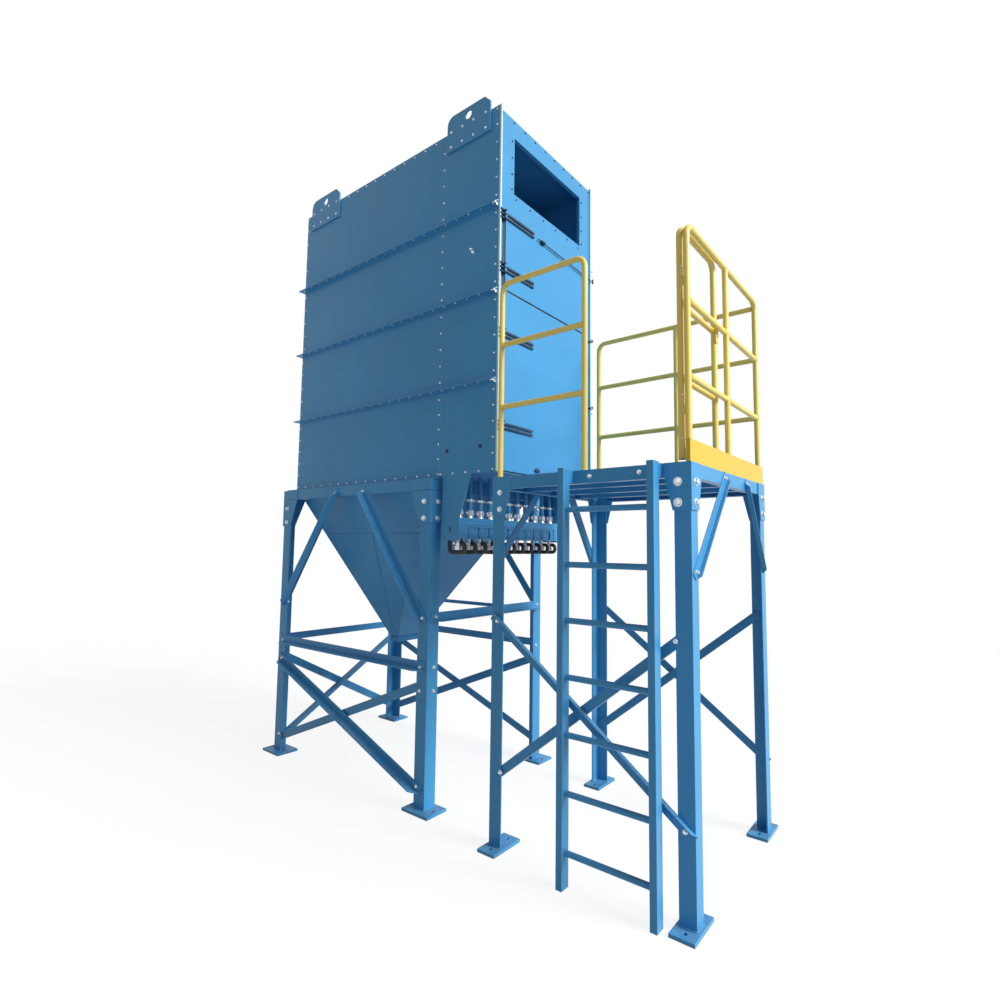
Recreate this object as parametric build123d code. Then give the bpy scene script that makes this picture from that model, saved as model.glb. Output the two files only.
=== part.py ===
from build123d import *
from math import cos, radians
import os

# All sizes are millimetres. X runs along the housing towards the access platform, Y runs to the back.
# The layout is drawn from the outer corner of the front left stand leg, and is centred at the end.

# Stand under the hopper
STAND_LENGTH = 1840.0
STAND_DEPTH = 1303.0
STAND_HEIGHT = 2216.0
STAND_LEG = 100.0
STAND_LEG_WALL = 10.0
STAND_BEAM_DEPTH = 80.0
STAND_BEAM_FLANGE = 42.0
STAND_BEAM_WALL = 6.0
STAND_FOOT_LENGTH = 240.0
STAND_FOOT_WIDTH = 180.0
FOOT_THICKNESS = 18.0
STAND_FOOT_OUTSET = 15.0
STAND_ANCHOR_GAP = 160.0
ANCHOR_RADIUS = 11.0
STAND_GUSSET_WIDTH = 194.0
STAND_GUSSET_TIP = 105.0
STAND_GUSSET_DROP = 307.0
GUSSET_THICKNESS = 8.0

# Angle braces bolted to the stand
STAND_BRACE = 60.0
STAND_BRACE_WALL = 6.0
BRACE_LAP = 30.0
STAND_RAIL_HEIGHT = 945.0
STAND_RAIL_START = 60.0
STAND_RAIL_END = 48.0
STAND_X_HIGH = 790.0
STAND_X_LOW = 150.0
STAND_X_OUTER_REACH = 60.0
STAND_X_INNER_REACH = 120.0
STAND_KNEE_FOOT = 1262.0
STAND_KNEE_INSET = 50.0
STAND_KNEE_REACH = 745.0
STAND_END_KNEE_REACH = 482.0
STAND_BACK_STRIP_HEIGHT = 1225.0
STAND_BACK_STRIP_WIDTH = 31.0
STAND_RIGHT_RAIL_HEIGHT = 1270.0

# Pyramid hopper and its outlet
HOPPER_WALL = 4.0
HOPPER_RIM_THICKNESS = 8.0
HOPPER_MOUTH_HEIGHT = 984.0
HOPPER_MOUTH_LEFT_OF_MIDDLE = 49.5
HOPPER_MOUTH_LENGTH = 93.0
HOPPER_MOUTH_WIDTH = 215.0
HOPPER_TOP_INSET_LEFT = 139.0
HOPPER_TOP_INSET_RIGHT = 58.0
HOPPER_TOP_INSET_SIDE = 47.0
COLLAR_HEIGHT = 39.0
COLLAR_WALL = 8.0

# Housing of the filter chamber and the clean air plenum
HOUSING_LEFT = 89.0
HOUSING_FRONT = 54.0
HOUSING_BACK_INSET = 68.0
PLENUM_PAST_STAND = 18.0
PLENUM_LENGTH = 506.0
HOUSING_BOTTOM = 2233.0
HOUSING_HEIGHT = 2498.0
SHEET = 4.0
TOP_TIER_HEIGHT = 698.0
TIER_COUNT = 3
LIP_REACH = 40.0
LIP_THICKNESS = 8.0
ROOF_DROP = 22.0
CORNER_FLANGE = 12.0
OUTLET_SIDE = 161.0
OUTLET_OTHER_SIDE = 164.0
OUTLET_BELOW_TOP = 153.0
OUTLET_HEIGHT = 407.0

# Access doors in the end of the plenum
DOOR_SIDE = 65.0
LOWER_DOOR_BOTTOM = 12.0
LOWER_DOOR_TIERS = 2
DOOR_SPACING = 13.0
DOOR_BELOW_TIER = 48.0
DOOR_SHEET = 5.0
DOOR_CLEARANCE = 5.0
DOOR_OVERLAP = 20.0
DOOR_RIM_DEPTH = 28.0
DOOR_RIM_WALL = 4.0
DOOR_RIM_CLEARANCE = 10.0
STRAP_LENGTH = 325.0
STRAP_HEIGHT = 15.0
STRAP_PITCH = 28.0
STRAP_THICKNESS = 10.0
LOWER_HINGE_INSETS = (290.0, 295.0)
UPPER_HINGE_INSETS = (137.0, 20.0)
HINGE_EYE_RADIUS = 10.0
HINGE_PIN_RADIUS = 5.0
PIN_CLEARANCE = 0.1
HINGE_AXIS_BACK = 51.0
HINGE_AXIS_OUT = 21.0
HINGE_LUG_THICKNESS = 10.0
HINGE_SIDE_GAP = 1.0

# Lifting lugs bolted to the top of the long walls
LUG_LENGTH = 408.0
LUG_HEIGHT = 265.0
LUG_ABOVE_ROOF = 112.0
LUG_THICKNESS = 12.0
LUG_END_INSET = 78.0
LUG_ROUND = 64.0
LUG_CHAMFER = 52.0
LUG_EYE_RADIUS = 31.0
LUG_EYE_ACROSS = 203.0
LUG_EYE_BELOW_TOP = 58.0

# Pulse air header under the plenum
BRACKET_THICKNESS = 8.0
BRACKET_LEFT_INSET = 37.0
BRACKET_TOP_LENGTH = 265.0
BRACKET_BOTTOM = 1790.0
BRACKET_SLOT_X = 77.0
BRACKET_SLOT_Z = 1867.0
BRACKET_SLOT_HEIGHT = 34.0
BRACKET_SLOT_WIDTH = 16.0
HEADER_BOTTOM = 1801.0
HEADER_HEIGHT = 143.0
HEADER_DEPTH = 160.0
HEADER_RECESS = 14.0
HEADER_RECESS_END = 97.0
HEADER_RECESS_LOW = 10.0
HEADER_RECESS_HEIGHT = 70.0
HEADER_STEP = 5.0
HEADER_STEP_END = 52.0
HEADER_STEP_HEIGHT = 95.0
PULSE_COUNT = 11
PULSE_PITCH = 108.0
BLOW_PIPE_RADIUS = 15.0
BLOW_SLEEVE_RADIUS = 19.0
BLOW_SLEEVE_HEIGHT = 131.0
BLOW_NUT_RADIUS = 26.0
BLOW_NUT_START = 20.0
BLOW_NUT_HEIGHT = 36.0
VALVE_DISC_RADIUS = 48.0
VALVE_DISC_THICKNESS = 7.0
FITTING_RADIUS = 12.0
FITTING_HEIGHT = 74.0
FITTING_NUT_RADIUS = 24.0
FITTING_NUT_DROP = 42.0
FITTING_NUT_HEIGHT = 24.0
FITTING_SLEEVE_RADIUS = 26.0
FITTING_SLEEVE_HEIGHT = 28.0
HOSE_RADIUS = 14.0
HOSE_START_DROP = 31.0
HOSE_DROP = 90.0
HOSE_OUT = 60.0
HOSE_BACK = 80.0
HOSE_BEND = 25.0
HEADER_AXIS_IN = 50.0

# Access platform
PLATFORM_GAP = 76.0
PLATFORM_FRONT = -46.0
PLATFORM_LENGTH = 1240.0
PLATFORM_DEPTH = 1266.0
PLATFORM_HEIGHT = 2177.0
PLATFORM_LEG = 85.0
PLATFORM_LEG_WALL = 8.0
PLATFORM_FOOT_LENGTH = 124.0
PLATFORM_FOOT_WIDTH = 245.0
PLATFORM_ANCHOR_GAP = 160.0
PLATFORM_BEAM_DEPTH = 73.0
PLATFORM_BEAM_FLANGE = 45.0
PLATFORM_BEAM_WALL = 6.0
PLATFORM_GUSSET_WIDTH = 130.0
PLATFORM_GUSSET_TIP = 91.0
PLATFORM_GUSSET_DROP = 237.0
PLATFORM_GUSSET_WALL = 6.0
PLATFORM_BRACE = 50.0
PLATFORM_BRACE_LEG = 28.0
PLATFORM_BRACE_WALL = 5.0
PLATFORM_X_HIGH = 1320.0
PLATFORM_X_LOW = 436.0
PLATFORM_X_OUTER_REACH = 30.0
PLATFORM_X_INNER_REACH = 66.0
PLATFORM_KNEE_FOOT = 1640.0
PLATFORM_KNEE_INSET = 46.0
PLATFORM_FRONT_KNEE_REACH = 500.0
PLATFORM_BACK_KNEE_REACH = 372.0
BEARER_DEPTH = 34.0
BEARER_WIDTH = 40.0
BEARER_COUNT = 3
PLANK_COUNT = 5
PLANK_GAP = 10.0
PLANK_THICKNESS = 27.0
PLANK_END_GAP = 12.0

# Ladder at the front of the platform
LADDER_LEFT = 536.0
LADDER_OUTER_WIDTH = 557.0
STRINGER_WIDTH = 37.0
STRINGER_DEPTH = 65.0
LADDER_STANDOFF = 36.0
LADDER_ABOVE_DECK = 3.0
RUNG_RADIUS = 16.0
RUNG_PITCH = 296.0
RUNG_FIRST = 181.0
RUNG_COUNT = 7
LADDER_TIE_DEPTH = 70.0

# Railings round the deck
TUBE_RADIUS = 16.85
INFILL_RADIUS = 16.8
RAIL_TOP = 1230.0
RAIL_MIDDLE = 835.0
RAIL_LOW = 440.0
RAIL_BEND = 60.0
BACK_RAIL_DROP = 40.0
RAIL_SIDE_INSET = 23.0
RAIL_FRONT_INSET = 24.0
RAIL_CORNER_INSET = 46.0
RAIL_LEFT_INSET = 30.0
RAIL_FRONT_LENGTH = 602.0
RAIL_SIDE_POST = 600.0
RAIL_BACK_POST = 637.0
RAIL_SEAM = 0.3
TOE_BOARD_HEIGHT = 113.0
TOE_BOARD_THICKNESS = 4.0
TOE_BOARD_RETURN = 16.0

# Hinged gate at the head of the ladder
GATE_REACH = 500.0
GATE_TOP = 1238.0
GATE_BOTTOM = 24.0
GATE_BARS = (826.0, 436.0)
GATE_BAR_HEIGHT = 38.0
GATE_BAR_THICKNESS = 8.0
GATE_BEND = 60.0
GATE_POST_OFFSET_X = -42.0
GATE_POST_OFFSET_Y = 14.0
GATE_AXIS_OFFSET_X = -25.3
GATE_AXIS_OFFSET_Y = -6.0
GATE_HINGES = (73.0, 292.0, 959.0)
GATE_BARREL_RADIUS = 6.5
GATE_PIN_RADIUS = 4.0
GATE_BARREL_LENGTH = 48.0
GATE_BARREL_GAP = 1.0
GATE_WEB = 6.0
STOP_PLATE_LENGTH = 100.0
STOP_PLATE_WIDTH = 40.0
STOP_PLATE_IN = 13.0
STOP_PLATE_WALL = 6.0
STOP_PLATE_LEVEL = 801.0
STOP_PLATE_HOLE = 7.0

# Places that follow from the sizes above
BASE = (Align.MIN, Align.MIN, Align.MIN)
HOPPER_MOUTH_X = (STAND_LENGTH - HOPPER_MOUTH_LENGTH) / 2 - HOPPER_MOUTH_LEFT_OF_MIDDLE
HOPPER_MOUTH_Y = (STAND_DEPTH - HOPPER_MOUTH_WIDTH) / 2
HOUSING_BACK = STAND_DEPTH - HOUSING_BACK_INSET
PLENUM_LEFT = STAND_LENGTH + PLENUM_PAST_STAND
HOUSING_RIGHT = PLENUM_LEFT + PLENUM_LENGTH
HOUSING_TOP = HOUSING_BOTTOM + HOUSING_HEIGHT
TIER_HEIGHT = (HOUSING_HEIGHT - TOP_TIER_HEIGHT) / TIER_COUNT
TOP_TIER_BOTTOM = HOUSING_TOP - TOP_TIER_HEIGHT
ROOF_TOP = HOUSING_TOP - ROOF_DROP
RIM_TOP = STAND_HEIGHT + HOPPER_RIM_THICKNESS
DOOR_FRONT = HOUSING_FRONT + DOOR_SIDE
DOOR_BACK = HOUSING_BACK - DOOR_SIDE
LOWER_DOOR = (
    HOUSING_BOTTOM + LOWER_DOOR_BOTTOM,
    HOUSING_BOTTOM + LOWER_DOOR_BOTTOM + LOWER_DOOR_TIERS * TIER_HEIGHT,
)
UPPER_DOOR = (LOWER_DOOR[1] + DOOR_SPACING, TOP_TIER_BOTTOM - DOOR_BELOW_TIER)
LOWER_HINGES = (LOWER_DOOR[0] + LOWER_HINGE_INSETS[0], LOWER_DOOR[1] - LOWER_HINGE_INSETS[1])
UPPER_HINGES = (UPPER_DOOR[0] + UPPER_HINGE_INSETS[0], UPPER_DOOR[1] - UPPER_HINGE_INSETS[1])
HINGE_X = HOUSING_RIGHT + HINGE_AXIS_OUT
HINGE_Y = HOUSING_FRONT + HINGE_AXIS_BACK
DOOR_FACE = HOUSING_RIGHT + DOOR_CLEARANCE
HEADER_LEFT = PLENUM_LEFT + BRACKET_LEFT_INSET
HEADER_RIGHT = HEADER_LEFT + HEADER_DEPTH
HEADER_AXIS = HEADER_RIGHT - HEADER_AXIS_IN
PLATFORM_LEFT = HOUSING_RIGHT + PLATFORM_GAP
PLATFORM_RIGHT = PLATFORM_LEFT + PLATFORM_LENGTH
PLATFORM_BACK = PLATFORM_FRONT + PLATFORM_DEPTH
CORNER_POST_X = PLATFORM_RIGHT - RAIL_SIDE_INSET
CORNER_POST_Y = PLATFORM_FRONT + RAIL_CORNER_INSET
BACK_RAIL_Y = PLATFORM_BACK - RAIL_FRONT_INSET
FRONT_RAIL_Y = PLATFORM_FRONT + RAIL_FRONT_INSET
LEFT_RAIL_X = PLATFORM_LEFT + RAIL_LEFT_INSET
GATE_AXIS_X = CORNER_POST_X + GATE_AXIS_OFFSET_X
GATE_AXIS_Y = CORNER_POST_Y + GATE_AXIS_OFFSET_Y
GATE_POST_X = CORNER_POST_X + GATE_POST_OFFSET_X
GATE_POST_Y = CORNER_POST_Y + GATE_POST_OFFSET_Y


def block(x, y, z):
    """A plate or block given by its low and high limit along each axis."""
    sizes = (x[1] - x[0], y[1] - y[0], z[1] - z[0])
    return Pos(x[0], y[0], z[0]) * Box(*sizes, align=BASE)


def bar(points, origin, across, along, length):
    """A straight bar: its outline is drawn square to its run, with local x along `across`."""
    plane = Plane(origin=origin, x_dir=across, z_dir=along)
    return extrude(plane * make_face(Polyline(*points, close=True)), amount=length, dir=along)


def rod(start, end, radius):
    """A round rod or pipe, solid, from one point to another."""
    run = Vector(*end) - Vector(*start)
    plane = Plane(origin=start, z_dir=run)
    return extrude(plane * Circle(radius), amount=run.length, dir=run.normalized())


def fuse(pieces):
    """Joins pieces that are welded or folded from one sheet into one solid."""
    solid, *others = pieces
    for piece in others:
        solid = solid + piece
    return solid


class Tower:
    """A rectangular four-legged frame, whose sides are named by the way they face."""

    def __init__(self, x, y, length, depth, height, leg, wall):
        self.x = x
        self.y = y
        self.length = length
        self.depth = depth
        self.height = height
        self.leg = leg
        self.wall = wall

    def outward(self, side):
        facing = {"front": (0, -1, 0), "back": (0, 1, 0), "left": (-1, 0, 0), "right": (1, 0, 0)}
        return Vector(*facing[side])

    def width(self, side):
        return self.length if side in ("front", "back") else self.depth

    def point(self, side, along, z, inset=0.0):
        """A point on the outer face of a side, or inset from it."""
        x_far = self.x + self.length - inset
        y_far = self.y + self.depth - inset
        places = {
            "front": (self.x + along, self.y + inset, z),
            "back": (self.x + along, y_far, z),
            "left": (self.x + inset, self.y + along, z),
            "right": (x_far, self.y + along, z),
        }
        return Vector(*places[side])

    def corners(self):
        """Each leg's outer corner with the two directions that lead into the frame."""
        for step_x in (0, 1):
            for step_y in (0, 1):
                corner = (self.x + step_x * self.length, self.y + step_y * self.depth)
                yield corner, (1 - 2 * step_x, 1 - 2 * step_y)


STAND = Tower(0.0, 0.0, STAND_LENGTH, STAND_DEPTH, STAND_HEIGHT, STAND_LEG, STAND_LEG_WALL)
PLATFORM = Tower(
    PLATFORM_LEFT,
    PLATFORM_FRONT,
    PLATFORM_LENGTH,
    PLATFORM_DEPTH,
    PLATFORM_HEIGHT,
    PLATFORM_LEG,
    PLATFORM_LEG_WALL,
)


def mirrored_outline(points, corner, into, bottom, height):
    """An upright prism on an outline drawn from a corner into the frame."""
    placed = [(corner[0] + into[0] * px, corner[1] + into[1] * py) for px, py in points]
    face = Plane.XY.offset(bottom) * make_face(Polyline(*placed, close=True))
    return extrude(face, amount=height, dir=(0, 0, 1))


def tower_legs(tower, top, foot_length, foot_width, outset, anchor_gap, gap_along_y):
    """Angle legs, corner outwards, each welded to a base plate with two anchor holes."""
    leg, wall = tower.leg, tower.wall
    outline = [(0, 0), (leg, 0), (leg, wall), (wall, wall), (wall, leg), (0, leg)]
    legs = []
    for corner, into in tower.corners():
        centre_x = corner[0] + into[0] * (leg / 2 - outset)
        centre_y = corner[1] + into[1] * (leg / 2 - outset)
        foot = Pos(centre_x, centre_y, FOOT_THICKNESS / 2) * Box(foot_length, foot_width, FOOT_THICKNESS)
        for step in (-0.5, 0.5):
            shift_x = 0.0 if gap_along_y else step * anchor_gap
            shift_y = step * anchor_gap if gap_along_y else 0.0
            hole = Pos(centre_x + shift_x, centre_y + shift_y, FOOT_THICKNESS / 2)
            foot -= hole * Cylinder(ANCHOR_RADIUS, 2 * FOOT_THICKNESS)
        upright = mirrored_outline(outline, corner, into, FOOT_THICKNESS, top - FOOT_THICKNESS)
        legs.append(foot + upright)
    return legs


def tower_beams(tower, depth, flange, wall):
    """Channel beams between the legs at the top, their webs in the outer faces."""
    outline = [
        (0, 0), (depth, 0), (depth, -flange), (depth - wall, -flange),
        (depth - wall, -wall), (wall, -wall), (wall, -flange), (0, -flange),
    ]
    beams = []
    for side in ("front", "back", "left", "right"):
        start = tower.point(side, tower.leg, tower.height - depth)
        end = tower.point(side, tower.width(side) - tower.leg, tower.height - depth)
        along = (end - start).normalized()
        plane = Plane(origin=start, x_dir=(0, 0, 1), z_dir=along)
        turn = 1 if plane.y_dir.dot(tower.outward(side)) > 0 else -1
        placed = [(px, turn * py) for px, py in outline]
        beams.append(bar(placed, start, (0, 0, 1), along, (end - start).length))
    return beams


def tower_gussets(tower, width, tip, drop, beam_depth, wall, capped):
    """Folded corner sleeves outside the legs and beams, tapering down the legs."""
    gussets = []
    top, shoulder, foot = tower.height, tower.height - beam_depth, tower.height - drop
    for corner, into in tower.corners():
        outline = [(-wall, foot), (tip, foot), (width, shoulder), (width, top), (-wall, top)]
        on_x = [(corner[0] + into[0] * px, pz) for px, pz in outline]
        on_y = [(corner[1] + into[1] * py, pz) for py, pz in outline]
        face_x = Plane.XZ.offset(-corner[1]) * make_face(Polyline(*on_x, close=True))
        face_y = Plane.YZ.offset(corner[0]) * make_face(Polyline(*on_y, close=True))
        sleeve = extrude(face_x, amount=wall, dir=(0, -into[1], 0))
        sleeve += extrude(face_y, amount=wall, dir=(-into[0], 0, 0))
        if capped:
            cap = [(-wall, -wall), (width, -wall), (width, width), (-wall, width)]
            sleeve += mirrored_outline(cap, corner, into, top, wall)
        gussets.append(sleeve)
    return gussets


def brace(tower, side, start, end, width, leg, wall, inside=False, edge=1):
    """An angle bolted to a side of the frame: one leg lies flat, one stands off with snipped ends."""
    inset = tower.wall if inside else 0.0
    facing = tower.outward(side) * (-1 if inside else 1)
    first = tower.point(side, *start, inset)
    last = tower.point(side, *end, inset)
    along = (last - first).normalized()
    across = facing.cross(along) * edge
    first -= along * BRACE_LAP
    run = (last - first).length + BRACE_LAP
    half = width / 2
    flat = bar([(-half, 0), (half, 0), (half, edge * wall), (-half, edge * wall)], first, across, along, run)
    heel = Plane(origin=first + across * half, x_dir=along, z_dir=-across * edge)
    upright = [(0, 0), (run, 0), (run - leg, leg), (leg, leg)]
    return flat + extrude(heel * make_face(Polyline(*upright, close=True)), amount=wall, dir=-across)


def stand_brace(side, start, end, **options):
    return brace(STAND, side, start, end, STAND_BRACE, STAND_BRACE, STAND_BRACE_WALL, **options)


def stand_long_braces(side):
    """Rail, crossed pair and two knees on a long side of the stand."""
    reach = STAND_LENGTH
    knee_top = STAND_HEIGHT - STAND_BEAM_DEPTH / 2
    outer, inner = STAND_X_OUTER_REACH, STAND_X_INNER_REACH
    rail = STAND_RAIL_HEIGHT
    high, low = STAND_X_HIGH, STAND_X_LOW
    left_knee = ((STAND_KNEE_INSET, STAND_KNEE_FOOT), (STAND_KNEE_REACH, knee_top))
    right_knee = ((reach - STAND_KNEE_INSET, STAND_KNEE_FOOT), (reach - STAND_KNEE_REACH, knee_top))
    up = -1 if side == "front" else 1
    return [
        stand_brace(side, (STAND_RAIL_START, rail), (reach - STAND_RAIL_END, rail), edge=up),
        stand_brace(side, (outer, high), (reach - outer, low), edge=up),
        stand_brace(side, (inner, low), (reach - inner, high), inside=True, edge=up),
        stand_brace(side, *left_knee, edge=up),
        stand_brace(side, *right_knee, edge=-up),
    ]


def stand_end_braces():
    """Rail, crossed pair and two knees on the left end, and the one rail left on the right."""
    reach = STAND_DEPTH
    knee_top = STAND_HEIGHT - STAND_BEAM_DEPTH / 2
    outer, inner = STAND_X_OUTER_REACH, STAND_X_INNER_REACH
    high, low = STAND_X_HIGH, STAND_X_LOW
    rail = STAND_RAIL_HEIGHT
    knee = STAND_END_KNEE_REACH
    inset = STAND_KNEE_INSET
    right = STAND_RIGHT_RAIL_HEIGHT
    return [
        stand_brace("left", (inset, rail), (reach - inset, rail)),
        stand_brace("left", (outer, high), (reach - outer, low)),
        stand_brace("left", (inner, low), (reach - inner, high), inside=True),
        stand_brace("left", (inset, STAND_KNEE_FOOT), (knee, knee_top)),
        stand_brace("left", (reach - inset, STAND_KNEE_FOOT), (reach - knee, knee_top), edge=-1),
        stand_brace("right", (inset, right), (reach - inset, right), edge=-1),
    ]


def stand_back_strip():
    """A flat strip bolted inside the back legs above the rail."""
    start = STAND.point("back", STAND_KNEE_INSET, STAND_BACK_STRIP_HEIGHT, STAND.wall)
    half = STAND_BACK_STRIP_WIDTH / 2
    return block(
        (start.X, STAND_LENGTH - STAND_KNEE_INSET),
        (start.Y - STAND_BRACE_WALL, start.Y),
        (start.Z - half, start.Z + half),
    )


def hopper_rings():
    """Corner points of the hopper's outer skin at its top and at its mouth."""
    left, right = HOPPER_TOP_INSET_LEFT, STAND_LENGTH - HOPPER_TOP_INSET_RIGHT
    front, back = HOPPER_TOP_INSET_SIDE, STAND_DEPTH - HOPPER_TOP_INSET_SIDE
    mouth_right = HOPPER_MOUTH_X + HOPPER_MOUTH_LENGTH
    mouth_back = HOPPER_MOUTH_Y + HOPPER_MOUTH_WIDTH
    top = [(left, front), (right, front), (right, back), (left, back)]
    mouth = [
        (HOPPER_MOUTH_X, HOPPER_MOUTH_Y), (mouth_right, HOPPER_MOUTH_Y),
        (mouth_right, mouth_back), (HOPPER_MOUTH_X, mouth_back),
    ]
    return top, mouth


def shrink(ring, amount):
    """The ring of corners moved in by an amount on every side."""
    signs = [(1, 1), (-1, 1), (-1, -1), (1, -1)]
    return [(x + sx * amount, y + sy * amount) for (x, y), (sx, sy) in zip(ring, signs)]


def hopper_plate(index):
    """One sloping wall of the hopper, mitred to its neighbours at the corners."""
    top, mouth = hopper_rings()
    faces = []
    for ring, level in ((mouth, HOPPER_MOUTH_HEIGHT), (top, STAND_HEIGHT)):
        inner = shrink(ring, HOPPER_WALL)
        after = (index + 1) % 4
        strip = [ring[index], ring[after], inner[after], inner[index]]
        faces.append(Plane.XY.offset(level) * make_face(Polyline(*strip, close=True)))
    return loft(faces, ruled=True)


def ring_plate(outer, inner, bottom, height):
    """A flat frame between two rings of corners."""
    frame = extrude(Plane.XY.offset(bottom) * make_face(Polyline(*outer, close=True)), amount=height)
    return frame - extrude(Plane.XY.offset(bottom) * make_face(Polyline(*inner, close=True)), amount=height)


def rectangle(x, y):
    return [(x[0], y[0]), (x[1], y[0]), (x[1], y[1]), (x[0], y[1])]


def hopper_rim():
    """The flange that carries the hopper on the stand and the housing on the hopper."""
    top, _ = hopper_rings()
    edge = STAND_LEG_WALL
    outer = rectangle((edge, PLENUM_LEFT + SHEET), (edge, STAND_DEPTH - edge))
    return ring_plate(outer, shrink(top, HOPPER_WALL), STAND_HEIGHT, HOPPER_RIM_THICKNESS)


def hopper_collar():
    """The flanged collar round the mouth, where a discharge valve or bin bolts on."""
    _, mouth = hopper_rings()
    return ring_plate(
        shrink(mouth, -COLLAR_WALL), shrink(mouth, HOPPER_WALL),
        HOPPER_MOUTH_HEIGHT - COLLAR_HEIGHT, COLLAR_HEIGHT,
    )


def tier_levels():
    return [TOP_TIER_BOTTOM - TIER_HEIGHT * tier for tier in range(TIER_COUNT)]


def long_wall(x, face_y, facing, bottom, lip_start):
    """A long wall with the bolted flanges of its tiers standing out along it."""
    inner = face_y - facing * SHEET
    wall = block(x, sorted((inner, face_y)), (bottom, HOUSING_TOP))
    lip_y = sorted((face_y, face_y + facing * LIP_REACH))
    half = LIP_THICKNESS / 2
    lips = [block((lip_start, x[1]), lip_y, (level - half, level + half)) for level in tier_levels()]
    return fuse([wall, *lips])


def filter_end_wall():
    """The closed end of the filter chamber with its tier flanges."""
    y = (HOUSING_FRONT + SHEET, HOUSING_BACK - SHEET)
    wall = block((HOUSING_LEFT, HOUSING_LEFT + SHEET), y, (RIM_TOP, ROOF_TOP - SHEET))
    half = LIP_THICKNESS / 2
    lip_x = (HOUSING_LEFT - LIP_REACH, HOUSING_LEFT)
    lip_y = (HOUSING_FRONT, HOUSING_BACK)
    lips = [block(lip_x, lip_y, (level - half, level + half)) for level in tier_levels()]
    return fuse([wall, *lips])


def roof():
    return block(
        (HOUSING_LEFT, HOUSING_RIGHT), (HOUSING_FRONT + SHEET, HOUSING_BACK - SHEET),
        (ROOF_TOP - SHEET, ROOF_TOP),
    )


def cell_plate():
    """The plate between the dusty filter chamber and the clean air plenum."""
    return block(
        (PLENUM_LEFT, PLENUM_LEFT + SHEET), (HOUSING_FRONT + SHEET, HOUSING_BACK - SHEET),
        (RIM_TOP, ROOF_TOP - SHEET),
    )


def pulse_rows():
    """The places along the header where each blow pipe, valve and fitting stands."""
    first = (HOUSING_FRONT + HOUSING_BACK - PULSE_PITCH * (PULSE_COUNT - 1)) / 2
    return [first + PULSE_PITCH * row for row in range(PULSE_COUNT)]


def plenum_floor():
    """The floor of the overhanging plenum, which the blow pipes pass through."""
    return block(
        (PLENUM_LEFT + SHEET, HOUSING_RIGHT), (HOUSING_FRONT + SHEET, HOUSING_BACK - SHEET),
        (HOUSING_BOTTOM, HOUSING_BOTTOM + SHEET),
    )


def end_wall_top():
    """The end wall of the top tier, with the clean air outlet cut through it."""
    y = (HOUSING_FRONT + SHEET, HOUSING_BACK - SHEET)
    plate = block((HOUSING_RIGHT - SHEET, HOUSING_RIGHT), y, (TOP_TIER_BOTTOM, ROOF_TOP - SHEET))
    outlet_top = HOUSING_TOP - OUTLET_BELOW_TOP
    return plate - block(
        (HOUSING_RIGHT - 2 * SHEET, HOUSING_RIGHT + SHEET),
        (HOUSING_FRONT + OUTLET_SIDE, HOUSING_BACK - OUTLET_OTHER_SIDE),
        (outlet_top - OUTLET_HEIGHT, outlet_top),
    )


def end_wall_posts():
    """The upright strips of the end wall beside the doorways."""
    x = (HOUSING_RIGHT - SHEET, HOUSING_RIGHT)
    z = (HOUSING_BOTTOM + SHEET, TOP_TIER_BOTTOM)
    return [
        block(x, (HOUSING_FRONT + SHEET, DOOR_FRONT + DOOR_OVERLAP), z),
        block(x, (DOOR_BACK - DOOR_OVERLAP, HOUSING_BACK - SHEET), z),
    ]


def end_wall_rails():
    """The sill under the lower doorway, the rail between the doorways and the one over them."""
    x = (HOUSING_RIGHT - SHEET, HOUSING_RIGHT)
    y = (DOOR_FRONT + DOOR_OVERLAP, DOOR_BACK - DOOR_OVERLAP)
    return [
        block(x, y, (HOUSING_BOTTOM + SHEET, LOWER_DOOR[0] + DOOR_OVERLAP)),
        block(x, y, (LOWER_DOOR[1] - DOOR_OVERLAP, UPPER_DOOR[0] + DOOR_OVERLAP)),
        block(x, y, (UPPER_DOOR[1] - DOOR_OVERLAP, TOP_TIER_BOTTOM)),
    ]


def corner_flanges():
    """The folded upright edges that close the front and back corners of the end wall."""
    z = (HOUSING_BOTTOM, HOUSING_TOP)
    x = (HOUSING_RIGHT, HOUSING_RIGHT + CORNER_FLANGE)
    return [
        block(x, (HOUSING_FRONT, HOUSING_FRONT + SHEET), z),
        block(x, (HOUSING_BACK - SHEET, HOUSING_BACK), z),
    ]


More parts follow.
